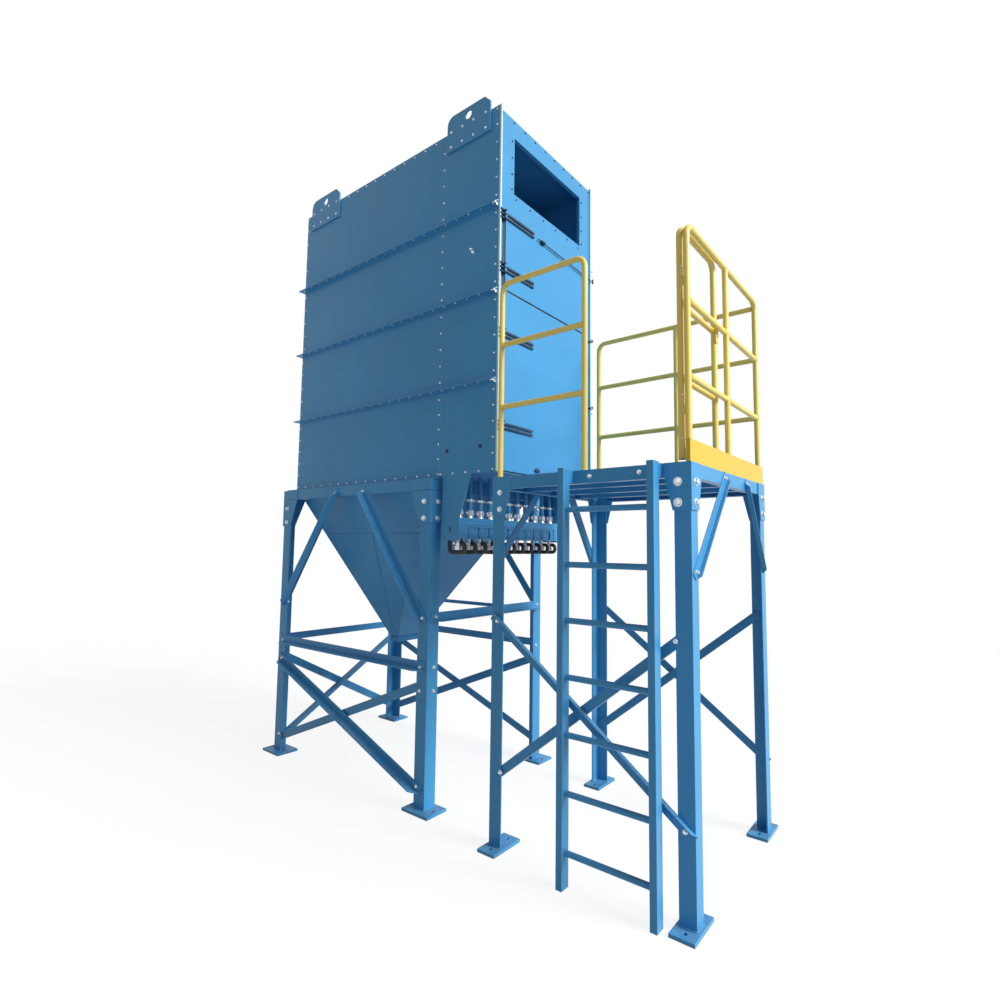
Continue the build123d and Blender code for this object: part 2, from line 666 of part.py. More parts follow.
def access_door(z, hinges):
    """A pan door with a stiffening rim and paired straps that end in hinge eyes."""
    skin = block((DOOR_FACE, DOOR_FACE + DOOR_SHEET), (DOOR_FRONT, DOOR_BACK), z)
    inset = DOOR_OVERLAP + DOOR_RIM_CLEARANCE
    rim_x = (DOOR_FACE - DOOR_RIM_DEPTH, DOOR_FACE)
    rim_y = (DOOR_FRONT + inset, DOOR_BACK - inset)
    rim_z = (z[0] + inset, z[1] - inset)
    wall = DOOR_RIM_WALL
    rim = block(rim_x, rim_y, rim_z) - block(
        rim_x, (rim_y[0] + wall, rim_y[1] - wall), (rim_z[0] + wall, rim_z[1] - wall)
    )
    pieces = [skin, rim]
    for hinge in hinges:
        for side in (-0.5, 0.5):
            middle = hinge + side * STRAP_PITCH
            strap_z = (middle - STRAP_HEIGHT / 2, middle + STRAP_HEIGHT / 2)
            outer = DOOR_FACE + DOOR_SHEET
            strap = block((outer, outer + STRAP_THICKNESS), (HINGE_Y, HINGE_Y + STRAP_LENGTH), strap_z)
            eye = Pos(HINGE_X, HINGE_Y, middle) * Cylinder(HINGE_EYE_RADIUS, STRAP_HEIGHT)
            bore = Pos(HINGE_X, HINGE_Y, middle)
            bore *= Cylinder(HINGE_PIN_RADIUS + PIN_CLEARANCE, 2 * STRAP_HEIGHT)
            pieces.append(strap + eye - bore)
    return fuse(pieces)


def door_hinges():
    """Fixed hinge brackets: lugs above, between and below the straps, with the pin in them."""
    brackets = []
    half_gap = (STRAP_PITCH - STRAP_HEIGHT) / 2 - HINGE_SIDE_GAP
    outer_edge = (STRAP_PITCH + STRAP_HEIGHT) / 2 + HINGE_SIDE_GAP
    for hinge in LOWER_HINGES + UPPER_HINGES:
        levels = (
            (hinge - outer_edge - HINGE_LUG_THICKNESS, hinge - outer_edge),
            (hinge - half_gap, hinge + half_gap),
            (hinge + outer_edge, hinge + outer_edge + HINGE_LUG_THICKNESS),
        )
        plate_y = (HOUSING_FRONT + SHEET, HINGE_Y - HINGE_EYE_RADIUS - DOOR_CLEARANCE)
        low, high = levels[0][0], levels[2][1]
        back_plate = block((HOUSING_RIGHT, HOUSING_RIGHT + LIP_THICKNESS), plate_y, (low, high))
        pieces = [back_plate]
        for z in levels:
            arm = block((HOUSING_RIGHT, HINGE_X), (plate_y[0], HINGE_Y), z)
            middle = (z[0] + z[1]) / 2
            eye = Pos(HINGE_X, HINGE_Y, middle) * Cylinder(HINGE_EYE_RADIUS, z[1] - z[0])
            corner = block((HINGE_X, HINGE_X + HINGE_EYE_RADIUS), (plate_y[1], HINGE_Y), z)
            pieces.append(arm + eye + corner)
        pieces.append(rod((HINGE_X, HINGE_Y, low), (HINGE_X, HINGE_Y, high), HINGE_PIN_RADIUS))
        brackets.append(fuse(pieces))
    return brackets


def lifting_lugs():
    """Bolted lifting plates at both ends of each long wall, each with a sling eye."""
    bottom = HOUSING_TOP + LUG_ABOVE_ROOF - LUG_HEIGHT
    lugs = []
    for left in (HOUSING_LEFT + LUG_END_INSET, HOUSING_RIGHT - LUG_END_INSET - LUG_LENGTH):
        outline = Polyline(
            (left, bottom + LUG_HEIGHT - LUG_ROUND), (left, bottom), (left + LUG_LENGTH, bottom),
            (left + LUG_LENGTH, bottom + LUG_HEIGHT - LUG_CHAMFER),
            (left + LUG_LENGTH - LUG_CHAMFER, bottom + LUG_HEIGHT),
            (left + LUG_ROUND, bottom + LUG_HEIGHT),
        )
        corner = RadiusArc(outline @ 1, outline @ 0, -LUG_ROUND)
        eye = Pos(left + LUG_EYE_ACROSS, bottom + LUG_HEIGHT - LUG_EYE_BELOW_TOP) * Circle(LUG_EYE_RADIUS)
        profile = make_face(outline + corner) - eye
        for face_y, facing in ((HOUSING_FRONT, -1), (HOUSING_BACK, 1)):
            face = Plane.XZ.offset(-face_y) * profile
            lugs.append(extrude(face, amount=LUG_THICKNESS, dir=(0, facing, 0)))
    return lugs


def header_brackets():
    """The two tapered plates that hang the pulse header from the plenum floor."""
    left = HEADER_LEFT
    outline = [
        (left, HOUSING_BOTTOM), (left + BRACKET_TOP_LENGTH, HOUSING_BOTTOM),
        (HEADER_RIGHT, HEADER_BOTTOM + HEADER_HEIGHT), (HEADER_RIGHT, BRACKET_BOTTOM),
        (left, BRACKET_BOTTOM),
    ]
    slot = Pos(left + BRACKET_SLOT_X, BRACKET_SLOT_Z)
    slot *= SlotOverall(BRACKET_SLOT_HEIGHT, BRACKET_SLOT_WIDTH, rotation=90)
    profile = make_face(Polyline(*outline, close=True)) - slot
    brackets = []
    for face_y, facing in ((HOUSING_FRONT, 1), (HOUSING_BACK, -1)):
        face = Plane.XZ.offset(-face_y) * profile
        brackets.append(extrude(face, amount=BRACKET_THICKNESS, dir=(0, facing, 0)))
    return brackets


def header_tank():
    """The square compressed air tank: a stepped front with a recess that shows the valve discs."""
    y = (HOUSING_FRONT + BRACKET_THICKNESS, HOUSING_BACK - BRACKET_THICKNESS)
    z = (HEADER_BOTTOM, HEADER_BOTTOM + HEADER_HEIGHT)
    tank = block((HEADER_LEFT, HEADER_RIGHT), y, z)
    outside = HEADER_RIGHT + HEADER_RECESS
    step_y = (HOUSING_FRONT + HEADER_STEP_END, HOUSING_BACK - HEADER_STEP_END)
    tank -= block((HEADER_RIGHT - HEADER_STEP, outside), step_y, (z[0], z[0] + HEADER_STEP_HEIGHT))
    recess_x = HEADER_RIGHT - HEADER_STEP - HEADER_RECESS
    recess_y = (HOUSING_FRONT + HEADER_RECESS_END, HOUSING_BACK - HEADER_RECESS_END)
    recess_z = (z[0] + HEADER_RECESS_LOW, z[0] + HEADER_RECESS_LOW + HEADER_RECESS_HEIGHT)
    recess = block((recess_x, outside), recess_y, recess_z)
    tank -= recess
    middle = (recess_z[0] + recess_z[1]) / 2
    for row in pulse_rows()[1:-1]:
        disc = rod((recess_x, row, middle), (recess_x + VALVE_DISC_THICKNESS, row, middle), VALVE_DISC_RADIUS)
        tank += disc & recess
    return tank


def blow_pipes():
    """Pipes from the header up to the plenum floor, each with a union nut and a sleeve at its foot."""
    bottom = HEADER_BOTTOM + HEADER_HEIGHT
    pipes = []
    for row in pulse_rows():
        foot = (HEADER_AXIS, row, bottom)
        pipe = rod(foot, (HEADER_AXIS, row, HOUSING_BOTTOM), BLOW_PIPE_RADIUS)
        sleeve = rod(foot, (HEADER_AXIS, row, bottom + BLOW_SLEEVE_HEIGHT), BLOW_SLEEVE_RADIUS)
        nut = Plane.XY.offset(bottom + BLOW_NUT_START) * Pos(HEADER_AXIS, row)
        nut = extrude(nut * RegularPolygon(BLOW_NUT_RADIUS, 6), amount=BLOW_NUT_HEIGHT)
        pipes.append(pipe + sleeve + nut)
    return pipes


def header_fittings():
    """The unions under the header, one at each row: a stem with a nut and a wide lower sleeve."""
    fittings = []
    low = HEADER_BOTTOM - FITTING_HEIGHT
    for row in pulse_rows():
        stem = rod((HEADER_AXIS, row, low), (HEADER_AXIS, row, HEADER_BOTTOM), FITTING_RADIUS)
        sleeve = rod(
            (HEADER_AXIS, row, low), (HEADER_AXIS, row, low + FITTING_SLEEVE_HEIGHT), FITTING_SLEEVE_RADIUS,
        )
        nut = Plane.XY.offset(HEADER_BOTTOM - FITTING_NUT_DROP) * Pos(HEADER_AXIS, row)
        nut = extrude(nut * RegularPolygon(FITTING_NUT_RADIUS, 6, rotation=30), amount=FITTING_NUT_HEIGHT)
        fittings.append(stem + sleeve + nut)
    return fittings


def header_hoses():
    """Black hoses that leave the unions sideways and loop under them, back up to the tank."""
    hoses = []
    nut_side = HEADER_AXIS + FITTING_NUT_RADIUS * cos(radians(30))
    high = HEADER_BOTTOM - HOSE_START_DROP
    low = HEADER_BOTTOM - HOSE_DROP
    out = HEADER_AXIS + HOSE_OUT
    back = HEADER_AXIS - HOSE_BACK
    for row in pulse_rows():
        corners = [(nut_side, high), (out, high), (out, low), (back, low), (back, HEADER_BOTTOM)]
        route = FilletPolyline(*[(x, row, z) for x, z in corners], radius=HOSE_BEND)
        start = Plane(origin=(nut_side, row, high), z_dir=(1, 0, 0))
        hoses.append(sweep(start * Circle(HOSE_RADIUS), path=route))
    return hoses


def deck_bearers():
    """Cross bearers between the side beams that carry the deck planks."""
    wall = PLATFORM_BEAM_WALL
    bottom = PLATFORM_HEIGHT - PLATFORM_BEAM_DEPTH + wall
    x = (PLATFORM_LEFT + wall, PLATFORM_RIGHT - wall)
    span = PLATFORM_DEPTH / (BEARER_COUNT + 1)
    bearers = []
    for step in range(BEARER_COUNT):
        middle = PLATFORM_FRONT + span * (step + 1)
        y = (middle - BEARER_WIDTH / 2, middle + BEARER_WIDTH / 2)
        bearers.append(block(x, y, (bottom, bottom + BEARER_DEPTH)))
    return bearers


def deck_planks():
    """Planks that run from front to back, with narrow gaps between them."""
    margin = PLATFORM_BEAM_FLANGE + PLANK_END_GAP
    x_low, x_high = PLATFORM_LEFT + margin, PLATFORM_RIGHT - margin
    pitch = (x_high - x_low + PLANK_GAP) / PLANK_COUNT
    y = (PLATFORM_FRONT + margin, PLATFORM_BACK - margin)
    bottom = PLATFORM_HEIGHT - PLATFORM_BEAM_DEPTH + PLATFORM_BEAM_WALL + BEARER_DEPTH
    planks = []
    for step in range(PLANK_COUNT):
        left = x_low + pitch * step
        planks.append(block((left, left + pitch - PLANK_GAP), y, (bottom, bottom + PLANK_THICKNESS)))
    return planks


def platform_brace(side, start, end, **options):
    sizes = (PLATFORM_BRACE, PLATFORM_BRACE_LEG, PLATFORM_BRACE_WALL)
    return brace(PLATFORM, side, start, end, *sizes, **options)


def platform_crosses():
    """Crossed angles on the front and the back of the platform."""
    reach = PLATFORM_LENGTH
    outer, inner = PLATFORM_X_OUTER_REACH, PLATFORM_X_INNER_REACH
    high, low = PLATFORM_X_HIGH, PLATFORM_X_LOW
    bars = []
    for side in ("front", "back"):
        bars.append(platform_brace(side, (outer, high), (reach - outer, low)))
        bars.append(platform_brace(side, (inner, low), (reach - inner, high), inside=True))
    return bars


def platform_knees():
    """Knee braces from the legs to the side beams, on both ends of the platform."""
    reach = PLATFORM_DEPTH
    top = PLATFORM_HEIGHT - PLATFORM_BEAM_DEPTH / 2
    inset, foot = PLATFORM_KNEE_INSET, PLATFORM_KNEE_FOOT
    bars = []
    for side, edge in (("left", 1), ("right", -1)):
        bars.append(
            platform_brace(side, (inset, foot), (PLATFORM_FRONT_KNEE_REACH, top), edge=edge)
        )
        bars.append(
            platform_brace(side, (reach - inset, foot), (reach - PLATFORM_BACK_KNEE_REACH, top), edge=-edge)
        )
    return bars


def ladder():
    """A fixed ladder: two flat stringers, round rungs and ties back to the front beam."""
    left = PLATFORM_LEFT + LADDER_LEFT
    right = left + LADDER_OUTER_WIDTH
    back = PLATFORM_FRONT - LADDER_STANDOFF
    y = (back - STRINGER_DEPTH, back)
    top = PLATFORM_HEIGHT + LADDER_ABOVE_DECK
    pieces = []
    for x in ((left, left + STRINGER_WIDTH), (right - STRINGER_WIDTH, right)):
        pieces.append(block(x, y, (0.0, top)))
        pieces.append(block(x, (back, PLATFORM_FRONT), (PLATFORM_HEIGHT - LADDER_TIE_DEPTH, PLATFORM_HEIGHT)))
    middle = (y[0] + y[1]) / 2
    for rung in range(RUNG_COUNT):
        z = RUNG_FIRST + RUNG_PITCH * rung
        ends = ((left + STRINGER_WIDTH / 2, middle, z), (right - STRINGER_WIDTH / 2, middle, z))
        pieces.append(rod(*ends, RUNG_RADIUS))
    return fuse(pieces)


def tube_path(points, radius, bend):
    """A bent tube, solid, along points in one plane."""
    path = FilletPolyline(*points, radius=bend)
    first, second = Vector(*points[0]), Vector(*points[1])
    start = Plane(origin=first, z_dir=second - first)
    return sweep(start * Circle(radius), path=path)


def rail_panel(start, end, top, levels, posts):
    """A railing panel: a bent hoop, straight middle rails and straight middle posts."""
    base = PLATFORM_HEIGHT
    hoop = [
        (*start, base), (*start, base + top), (*end, base + top), (*end, base),
    ]
    pieces = [tube_path(hoop, TUBE_RADIUS, RAIL_BEND)]
    for level in levels:
        pieces.append(rod((*start, base + level), (*end, base + level), INFILL_RADIUS))
    for post in posts:
        pieces.append(rod((*post, base), (*post, base + top), INFILL_RADIUS))
    return fuse(pieces)


def rail_front():
    start = (LEFT_RAIL_X, FRONT_RAIL_Y)
    end = (LEFT_RAIL_X + RAIL_FRONT_LENGTH, FRONT_RAIL_Y)
    return rail_panel(start, end, RAIL_TOP, (RAIL_MIDDLE, RAIL_LOW), ())


def gate_barrel(level, lower, upper, radius):
    return rod((GATE_AXIS_X, GATE_AXIS_Y, level + lower), (GATE_AXIS_X, GATE_AXIS_Y, level + upper), radius)


def gate_web(post_x, post_y, low, high):
    """A flat web from a post to the hinge axis, between two heights."""
    run = Vector(GATE_AXIS_X - post_x, GATE_AXIS_Y - post_y, 0)
    half = GATE_WEB / 2
    outline = [(0, -half), (run.length, -half), (run.length, half), (0, half)]
    plane = Plane(origin=(post_x, post_y, low), x_dir=run, z_dir=(0, 0, 1))
    return extrude(plane * make_face(Polyline(*outline, close=True)), amount=high - low)


def rail_side():
    """The railing on the far side of the deck, which also carries the gate on its front post."""
    start = (CORNER_POST_X, CORNER_POST_Y)
    end = (CORNER_POST_X, BACK_RAIL_Y)
    post = (CORNER_POST_X, CORNER_POST_Y + RAIL_SIDE_POST)
    panel = rail_panel(start, end, RAIL_TOP, (RAIL_MIDDLE, RAIL_LOW), (post,))
    length = GATE_BARREL_LENGTH
    knuckles = []
    for hinge in GATE_HINGES:
        level = PLATFORM_HEIGHT + hinge
        knuckles.append(gate_web(*start, level - length, level))
        knuckles.append(gate_barrel(level, -length, 0, GATE_BARREL_RADIUS))
        knuckles.append(gate_barrel(level, 0, length, GATE_PIN_RADIUS))
    return fuse([panel, *knuckles])


def rail_back():
    """The railing at the back, whose rails run into the far corner post."""
    base = PLATFORM_HEIGHT
    stop = CORNER_POST_X - TUBE_RADIUS - RAIL_SEAM
    top = RAIL_TOP - BACK_RAIL_DROP
    hoop = [
        (LEFT_RAIL_X, BACK_RAIL_Y, base), (LEFT_RAIL_X, BACK_RAIL_Y, base + top),
        (stop, BACK_RAIL_Y, base + top),
    ]
    pieces = [tube_path(hoop, TUBE_RADIUS, RAIL_BEND)]
    for level in (RAIL_MIDDLE, RAIL_LOW):
        infill = ((LEFT_RAIL_X, BACK_RAIL_Y, base + level), (stop, BACK_RAIL_Y, base + level))
        pieces.append(rod(*infill, INFILL_RADIUS))
    middle = LEFT_RAIL_X + RAIL_BACK_POST
    pieces.append(rod((middle, BACK_RAIL_Y, base), (middle, BACK_RAIL_Y, base + top), INFILL_RADIUS))
    return fuse(pieces)


def toe_board():
    """The kick plate along the far side of the deck, with a folded return at its front end."""
    x = (PLATFORM_RIGHT - TOE_BOARD_THICKNESS, PLATFORM_RIGHT)
    z = (PLATFORM_HEIGHT, PLATFORM_HEIGHT + TOE_BOARD_HEIGHT)
    board = block(x, (PLATFORM_FRONT, PLATFORM_BACK), z)
    fold = block(
        (PLATFORM_RIGHT - TOE_BOARD_RETURN, PLATFORM_RIGHT),
        (PLATFORM_FRONT, PLATFORM_FRONT + TOE_BOARD_THICKNESS), z,
    )
    return board + fold


def stop_plate(far):
    """The round-ended plate on the gate's free post that stops it against the front railing."""
    middle = PLATFORM_HEIGHT + STOP_PLATE_LEVEL
    plane = Plane(origin=(GATE_POST_X + STOP_PLATE_IN, far, middle), x_dir=(0, 0, 1), z_dir=(1, 0, 0))
    outline = SlotOverall(STOP_PLATE_LENGTH, STOP_PLATE_WIDTH)
    return extrude(plane * (outline - Circle(STOP_PLATE_HOLE)), amount=STOP_PLATE_WALL)


def gate():
    """The ladder gate as it stands open, folded back along the far railing."""
    base = PLATFORM_HEIGHT
    far = GATE_POST_Y + GATE_REACH
    hoop = [
        (GATE_POST_X, GATE_POST_Y, base + GATE_BOTTOM), (GATE_POST_X, GATE_POST_Y, base + GATE_TOP),
        (GATE_POST_X, far, base + GATE_TOP), (GATE_POST_X, far, base + GATE_BOTTOM),
    ]
    pieces = [tube_path(hoop, TUBE_RADIUS, GATE_BEND)]
    half = GATE_BAR_THICKNESS / 2
    for level in GATE_BARS:
        z = (base + level - GATE_BAR_HEIGHT / 2, base + level + GATE_BAR_HEIGHT / 2)
        pieces.append(block((GATE_POST_X - half, GATE_POST_X + half), (GATE_POST_Y, far), z))
    length, gap = GATE_BARREL_LENGTH, GATE_BARREL_GAP
    bores = []
    for hinge in GATE_HINGES:
        level = base + hinge
        pieces.append(gate_web(GATE_POST_X, GATE_POST_Y, level + gap, level + length))
        pieces.append(gate_barrel(level, gap, length, GATE_BARREL_RADIUS))
        bores.append(gate_barrel(level, 0, 2 * length, GATE_PIN_RADIUS + PIN_CLEARANCE))
    pieces.append(stop_plate(far))
    solid = fuse(pieces)
    for bore in bores:
        solid -= bore
    return solid


def as_node(name, shape):
    """Gathers a node's solids under its name."""
    pieces = shape if isinstance(shape, list) else [shape]
    solids = [solid for piece in pieces for solid in piece.solids()]
    node = Compound(children=solids) if len(solids) > 1 else solids[0]
    node.label = name
    return node


def build():
    """All nodes of the collector, centred on its footprint with the ground at zero."""
    filter_x = (HOUSING_LEFT, PLENUM_LEFT)
    plenum_x = (PLENUM_LEFT, HOUSING_RIGHT)
    lip_start = HOUSING_LEFT - LIP_REACH
    stand_foot = (STAND_FOOT_LENGTH, STAND_FOOT_WIDTH, STAND_FOOT_OUTSET, STAND_ANCHOR_GAP, False)
    platform_foot = (PLATFORM_FOOT_LENGTH, PLATFORM_FOOT_WIDTH, 0.0, PLATFORM_ANCHOR_GAP, True)
    nodes = {
        "stand_legs": tower_legs(STAND, STAND_HEIGHT, *stand_foot),
        "stand_beams": tower_beams(STAND, STAND_BEAM_DEPTH, STAND_BEAM_FLANGE, STAND_BEAM_WALL),
        "stand_gussets": tower_gussets(
            STAND, STAND_GUSSET_WIDTH, STAND_GUSSET_TIP, STAND_GUSSET_DROP, STAND_BEAM_DEPTH,
            GUSSET_THICKNESS, False,
        ),
        "stand_front_braces": stand_long_braces("front"),
        "stand_back_braces": stand_long_braces("back") + [stand_back_strip()],
        "stand_end_braces": stand_end_braces(),
        "hopper_front_plate": hopper_plate(0),
        "hopper_right_plate": hopper_plate(1),
        "hopper_back_plate": hopper_plate(2),
        "hopper_left_plate": hopper_plate(3),
        "hopper_rim": hopper_rim(),
        "hopper_collar": hopper_collar(),
        "filter_front_wall": long_wall(filter_x, HOUSING_FRONT, -1, RIM_TOP, lip_start),
        "filter_back_wall": long_wall(filter_x, HOUSING_BACK, 1, RIM_TOP, lip_start),
        "filter_end_wall": filter_end_wall(),
        "plenum_front_wall": long_wall(plenum_x, HOUSING_FRONT, -1, HOUSING_BOTTOM, PLENUM_LEFT),
        "plenum_back_wall": long_wall(plenum_x, HOUSING_BACK, 1, HOUSING_BOTTOM, PLENUM_LEFT),
        "plenum_floor": plenum_floor(),
        "cell_plate": cell_plate(),
        "roof": roof(),
        "end_wall_top": end_wall_top(),
        "end_wall_posts": end_wall_posts(),
        "end_wall_rails": end_wall_rails(),
        "corner_flanges": corner_flanges(),
        "door_hinges": door_hinges(),
        "upper_access_door": access_door(UPPER_DOOR, UPPER_HINGES),
        "lower_access_door": access_door(LOWER_DOOR, LOWER_HINGES),
        "lifting_lugs": lifting_lugs(),
        "header_brackets": header_brackets(),
        "header_tank": header_tank(),
        "blow_pipes": blow_pipes(),
        "header_fittings": header_fittings(),
        "header_hoses": header_hoses(),
        "platform_legs": tower_legs(PLATFORM, PLATFORM_HEIGHT, *platform_foot),
        "platform_beams": tower_beams(PLATFORM, PLATFORM_BEAM_DEPTH, PLATFORM_BEAM_FLANGE, PLATFORM_BEAM_WALL),
        "platform_gussets": tower_gussets(
            PLATFORM, PLATFORM_GUSSET_WIDTH, PLATFORM_GUSSET_TIP, PLATFORM_GUSSET_DROP,
            PLATFORM_BEAM_DEPTH, PLATFORM_GUSSET_WALL, False,
        ),
        "platform_crosses": platform_crosses(),
        "platform_knees": platform_knees(),
        "deck_bearers": deck_bearers(),
        "deck_planks": deck_planks(),
        "ladder": ladder(),
        "rail_front": rail_front(),
        "rail_side": rail_side(),
        "rail_back": rail_back(),
        "toe_board": toe_board(),
        "gate": gate(),
    }
    nodes = {name: as_node(name, shape) for name, shape in nodes.items()}
    boxes = [node.bounding_box() for node in nodes.values()]
    low_x, high_x = min(b.min.X for b in boxes), max(b.max.X for b in boxes)
    low_y, high_y = min(b.min.Y for b in boxes), max(b.max.Y for b in boxes)
    shift = Pos(-(low_x + high_x) / 2, -(low_y + high_y) / 2, 0.0)
    return {name: shift * node for name, node in nodes.items()}, shift


def main():
    os.makedirs("parts", exist_ok=True)
    nodes, _ = build()
    for name, node in nodes.items():
        export_step(node, os.path.join("parts", name + ".step"))


if __name__ == "__main__":
    main()
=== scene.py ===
"""A baghouse dust collector with its stand, hopper, pulse header and access platform."""

import logging
import math
import random
from contextlib import contextmanager
from dataclasses import dataclass
from enum import Enum
from typing import Callable, Iterable, Iterator, Sequence

import bmesh
import bpy
from mathutils import Matrix, Vector


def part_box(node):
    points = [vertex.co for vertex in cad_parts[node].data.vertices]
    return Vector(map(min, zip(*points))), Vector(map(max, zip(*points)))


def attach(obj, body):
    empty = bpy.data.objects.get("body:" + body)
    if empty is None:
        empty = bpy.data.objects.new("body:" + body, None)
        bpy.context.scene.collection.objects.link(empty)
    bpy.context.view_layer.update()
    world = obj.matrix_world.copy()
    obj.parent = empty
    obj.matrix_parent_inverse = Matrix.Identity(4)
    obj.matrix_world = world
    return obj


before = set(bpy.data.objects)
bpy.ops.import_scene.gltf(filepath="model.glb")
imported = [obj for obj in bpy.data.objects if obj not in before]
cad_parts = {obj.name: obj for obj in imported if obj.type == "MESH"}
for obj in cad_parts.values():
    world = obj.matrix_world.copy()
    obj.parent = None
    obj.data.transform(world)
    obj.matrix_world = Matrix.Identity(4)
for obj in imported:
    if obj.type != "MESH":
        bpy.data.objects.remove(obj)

LOG = logging.getLogger("dust_collector")
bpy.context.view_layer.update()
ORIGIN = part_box("stand_beams")[0]
MM = 0.001
FIXED = "collector"
GATE_LEAF = "gate_leaf"
DOOR_LEAF = "lower_door_leaf"
LEVEL = 0.9
SMOOTH_ANGLE = 40.0
GAP = 0.2
BASE_PLATE = 20.0
SEAM_SIDES = 8
WHITE = (1.0, 1.0, 1.0, 1.0)

Piece = bpy.types.Object
Material = bpy.types.Material
NodeTree = bpy.types.NodeTree
Socket = bpy.types.NodeSocket
Colour = tuple[float, float, float, float]
Point = tuple[float, float, float]
Range = tuple[float, float]


class Facing(Enum):
    """The way that a face of the collector looks."""

    FRONT = (0.0, -1.0, 0.0)
    BACK = (0.0, 1.0, 0.0)
    LEFT = (-1.0, 0.0, 0.0)
    RIGHT = (1.0, 0.0, 0.0)
    UP = (0.0, 0.0, 1.0)
    DOWN = (0.0, 0.0, -1.0)


Spot = tuple[Point, Facing]


def place(x: float, y: float, z: float) -> Vector:
    """A place in the shared frame, from millimetres off the stand's front left corner.

    Args:
        x: distance along the housing towards the platform.
        y: distance to the back.
        z: height above the ground.

    Returns:
        The place in metres.
    """
    return Vector((ORIGIN.x + x * MM, ORIGIN.y + y * MM, z * MM))


def tint(red: int, green: int, blue: int) -> Colour:
    """A display colour of 0 to 255 as the linear colour that a shader takes.

    Args:
        red: red as displayed.
        green: green as displayed.
        blue: blue as displayed.

    Returns:
        The linear colour with full alpha.
    """
    shares = [channel / 255 for channel in (red, green, blue)]
    linear = [
        share / 12.92 if share <= 0.04045 else ((share + 0.055) / 1.055) ** 2.4 for share in shares
    ]
    return (linear[0], linear[1], linear[2], 1.0)


def steps(low: float, high: float, pitch: float) -> list[float]:
    """Even places from one end to the other, at about a given pitch.

    Args:
        low: the first place.
        high: the last place.
        pitch: the distance wanted between places.

    Returns:
        The places, both ends included.
    """
    count = max(1, round((high - low) / pitch))
    return [low + (high - low) * step / count for step in range(count + 1)]


# Modelling by hand in code

def activate(piece: Piece) -> None:
    """Selects one piece alone and makes it the active one."""
    for other in bpy.context.selected_objects:
        other.select_set(False)
    piece.select_set(True)
    bpy.context.view_layer.objects.active = piece


@contextmanager
def editing(piece: Piece, mode: str = "FACE") -> Iterator[Piece]:
    """Edit mode on one piece with nothing selected, and object mode again after.

    Args:
        piece: the piece to edit.
        mode: the kind of element that is selected, VERT, EDGE or FACE.

    Yields:
        The piece.
    """
    activate(piece)
    bpy.ops.object.mode_set(mode="EDIT")
    bpy.ops.mesh.select_mode(type=mode)
    bpy.ops.mesh.select_all(action="DESELECT")
    yield piece
    bpy.ops.object.mode_set(mode="OBJECT")


def pick(piece: Piece, kind: str, wanted: Callable[..., bool]) -> None:
    """Selects the elements of a piece in edit mode that pass a test.

    Args:
        piece: the piece in edit mode.
        kind: faces, edges or verts.
        wanted: says whether an element is selected.
    """
    mesh = bmesh.from_edit_mesh(piece.data)
    for element in getattr(mesh, kind):
        if wanted(element):
            element.select_set(True)
    mesh.select_flush_mode()
    bmesh.update_edit_mesh(piece.data)


def settle(piece: Piece) -> Piece:
    """Moves a piece's place, turn and scale into its mesh, and returns the piece."""
    piece.data.transform(piece.matrix_basis)
    piece.matrix_basis = Matrix.Identity(4)
    return piece


def join(pieces: Sequence[Piece], name: str) -> Piece:
    """Joins several pieces as one mesh.

    Args:
        pieces: the pieces, whose places are in their meshes.
        name: the name of the result.

    Returns:
        The joined piece.
    """
    activate(pieces[0])
    for piece in pieces[1:]:
        piece.select_set(True)
    if len(pieces) > 1:
        bpy.ops.object.join()
    joined = bpy.context.view_layer.objects.active
    joined.name = name
    joined.data.name = name
    return joined


def copies(template: Piece, matrices: Iterable[Matrix], name: str) -> Piece:
    """Copies a shape modelled once to many places, and joins the copies.

    Args:
        template: the shape, which is deleted afterwards.
        matrices: a place and turn for each copy.
        name: the name of the result.

    Returns:
        The joined copies.
    """
    made = []
    for matrix in matrices:
        mesh = template.data.copy()
        mesh.transform(matrix)
        copy = bpy.data.objects.new(name, mesh)
        bpy.context.scene.collection.objects.link(copy)
        made.append(copy)
    bpy.data.objects.remove(template)
    return join(made, name)


def lying(radius: float, depth: float, sides: int, bottom: float = 0.0) -> Piece:
    """A round or many-sided prism that stands on the origin, as a start for a shape.

    Args:
        radius: its radius in millimetres.
        depth: its height in millimetres.
        sides: how many sides it has.
        bottom: how far its foot is above the origin.

    Returns:
        The new object.
    """
    bpy.ops.mesh.primitive_cylinder_add(
        vertices=sides, radius=radius * MM, depth=depth * MM, location=(0, 0, (bottom + depth / 2) * MM)
    )
    return settle(bpy.context.active_object)


def round_top(piece: Piece, offset: float, segments: int = 1) -> None:
    """Bevels the edges round the highest face of a shape.

    Args:
        piece: the shape.
        offset: the width of the bevel in millimetres.
        segments: how many faces the bevel has.
    """
    top = max(vertex.co.z for vertex in piece.data.vertices) - 1e-6
    with editing(piece, "EDGE"):
        pick(piece, "edges", lambda edge: all(vertex.co.z > top for vertex in edge.verts))
        bpy.ops.mesh.bevel(offset=offset * MM, segments=segments, affect="EDGES")


def softened(middle: Vector, size: Vector, bevel: float) -> Piece:
    """A block with softened edges.

    Args:
        middle: its middle in metres.
        size: its size in metres.
        bevel: width of the edge bevel in millimetres.

    Returns:
        The block.
    """
    bpy.ops.mesh.primitive_cube_add(size=1, location=middle, scale=size)
    block = settle(bpy.context.active_object)
    with editing(block, "EDGE"):
        bpy.ops.mesh.select_all(action="SELECT")
        bpy.ops.mesh.bevel(offset=bevel * MM, segments=2, affect="EDGES")
    return block


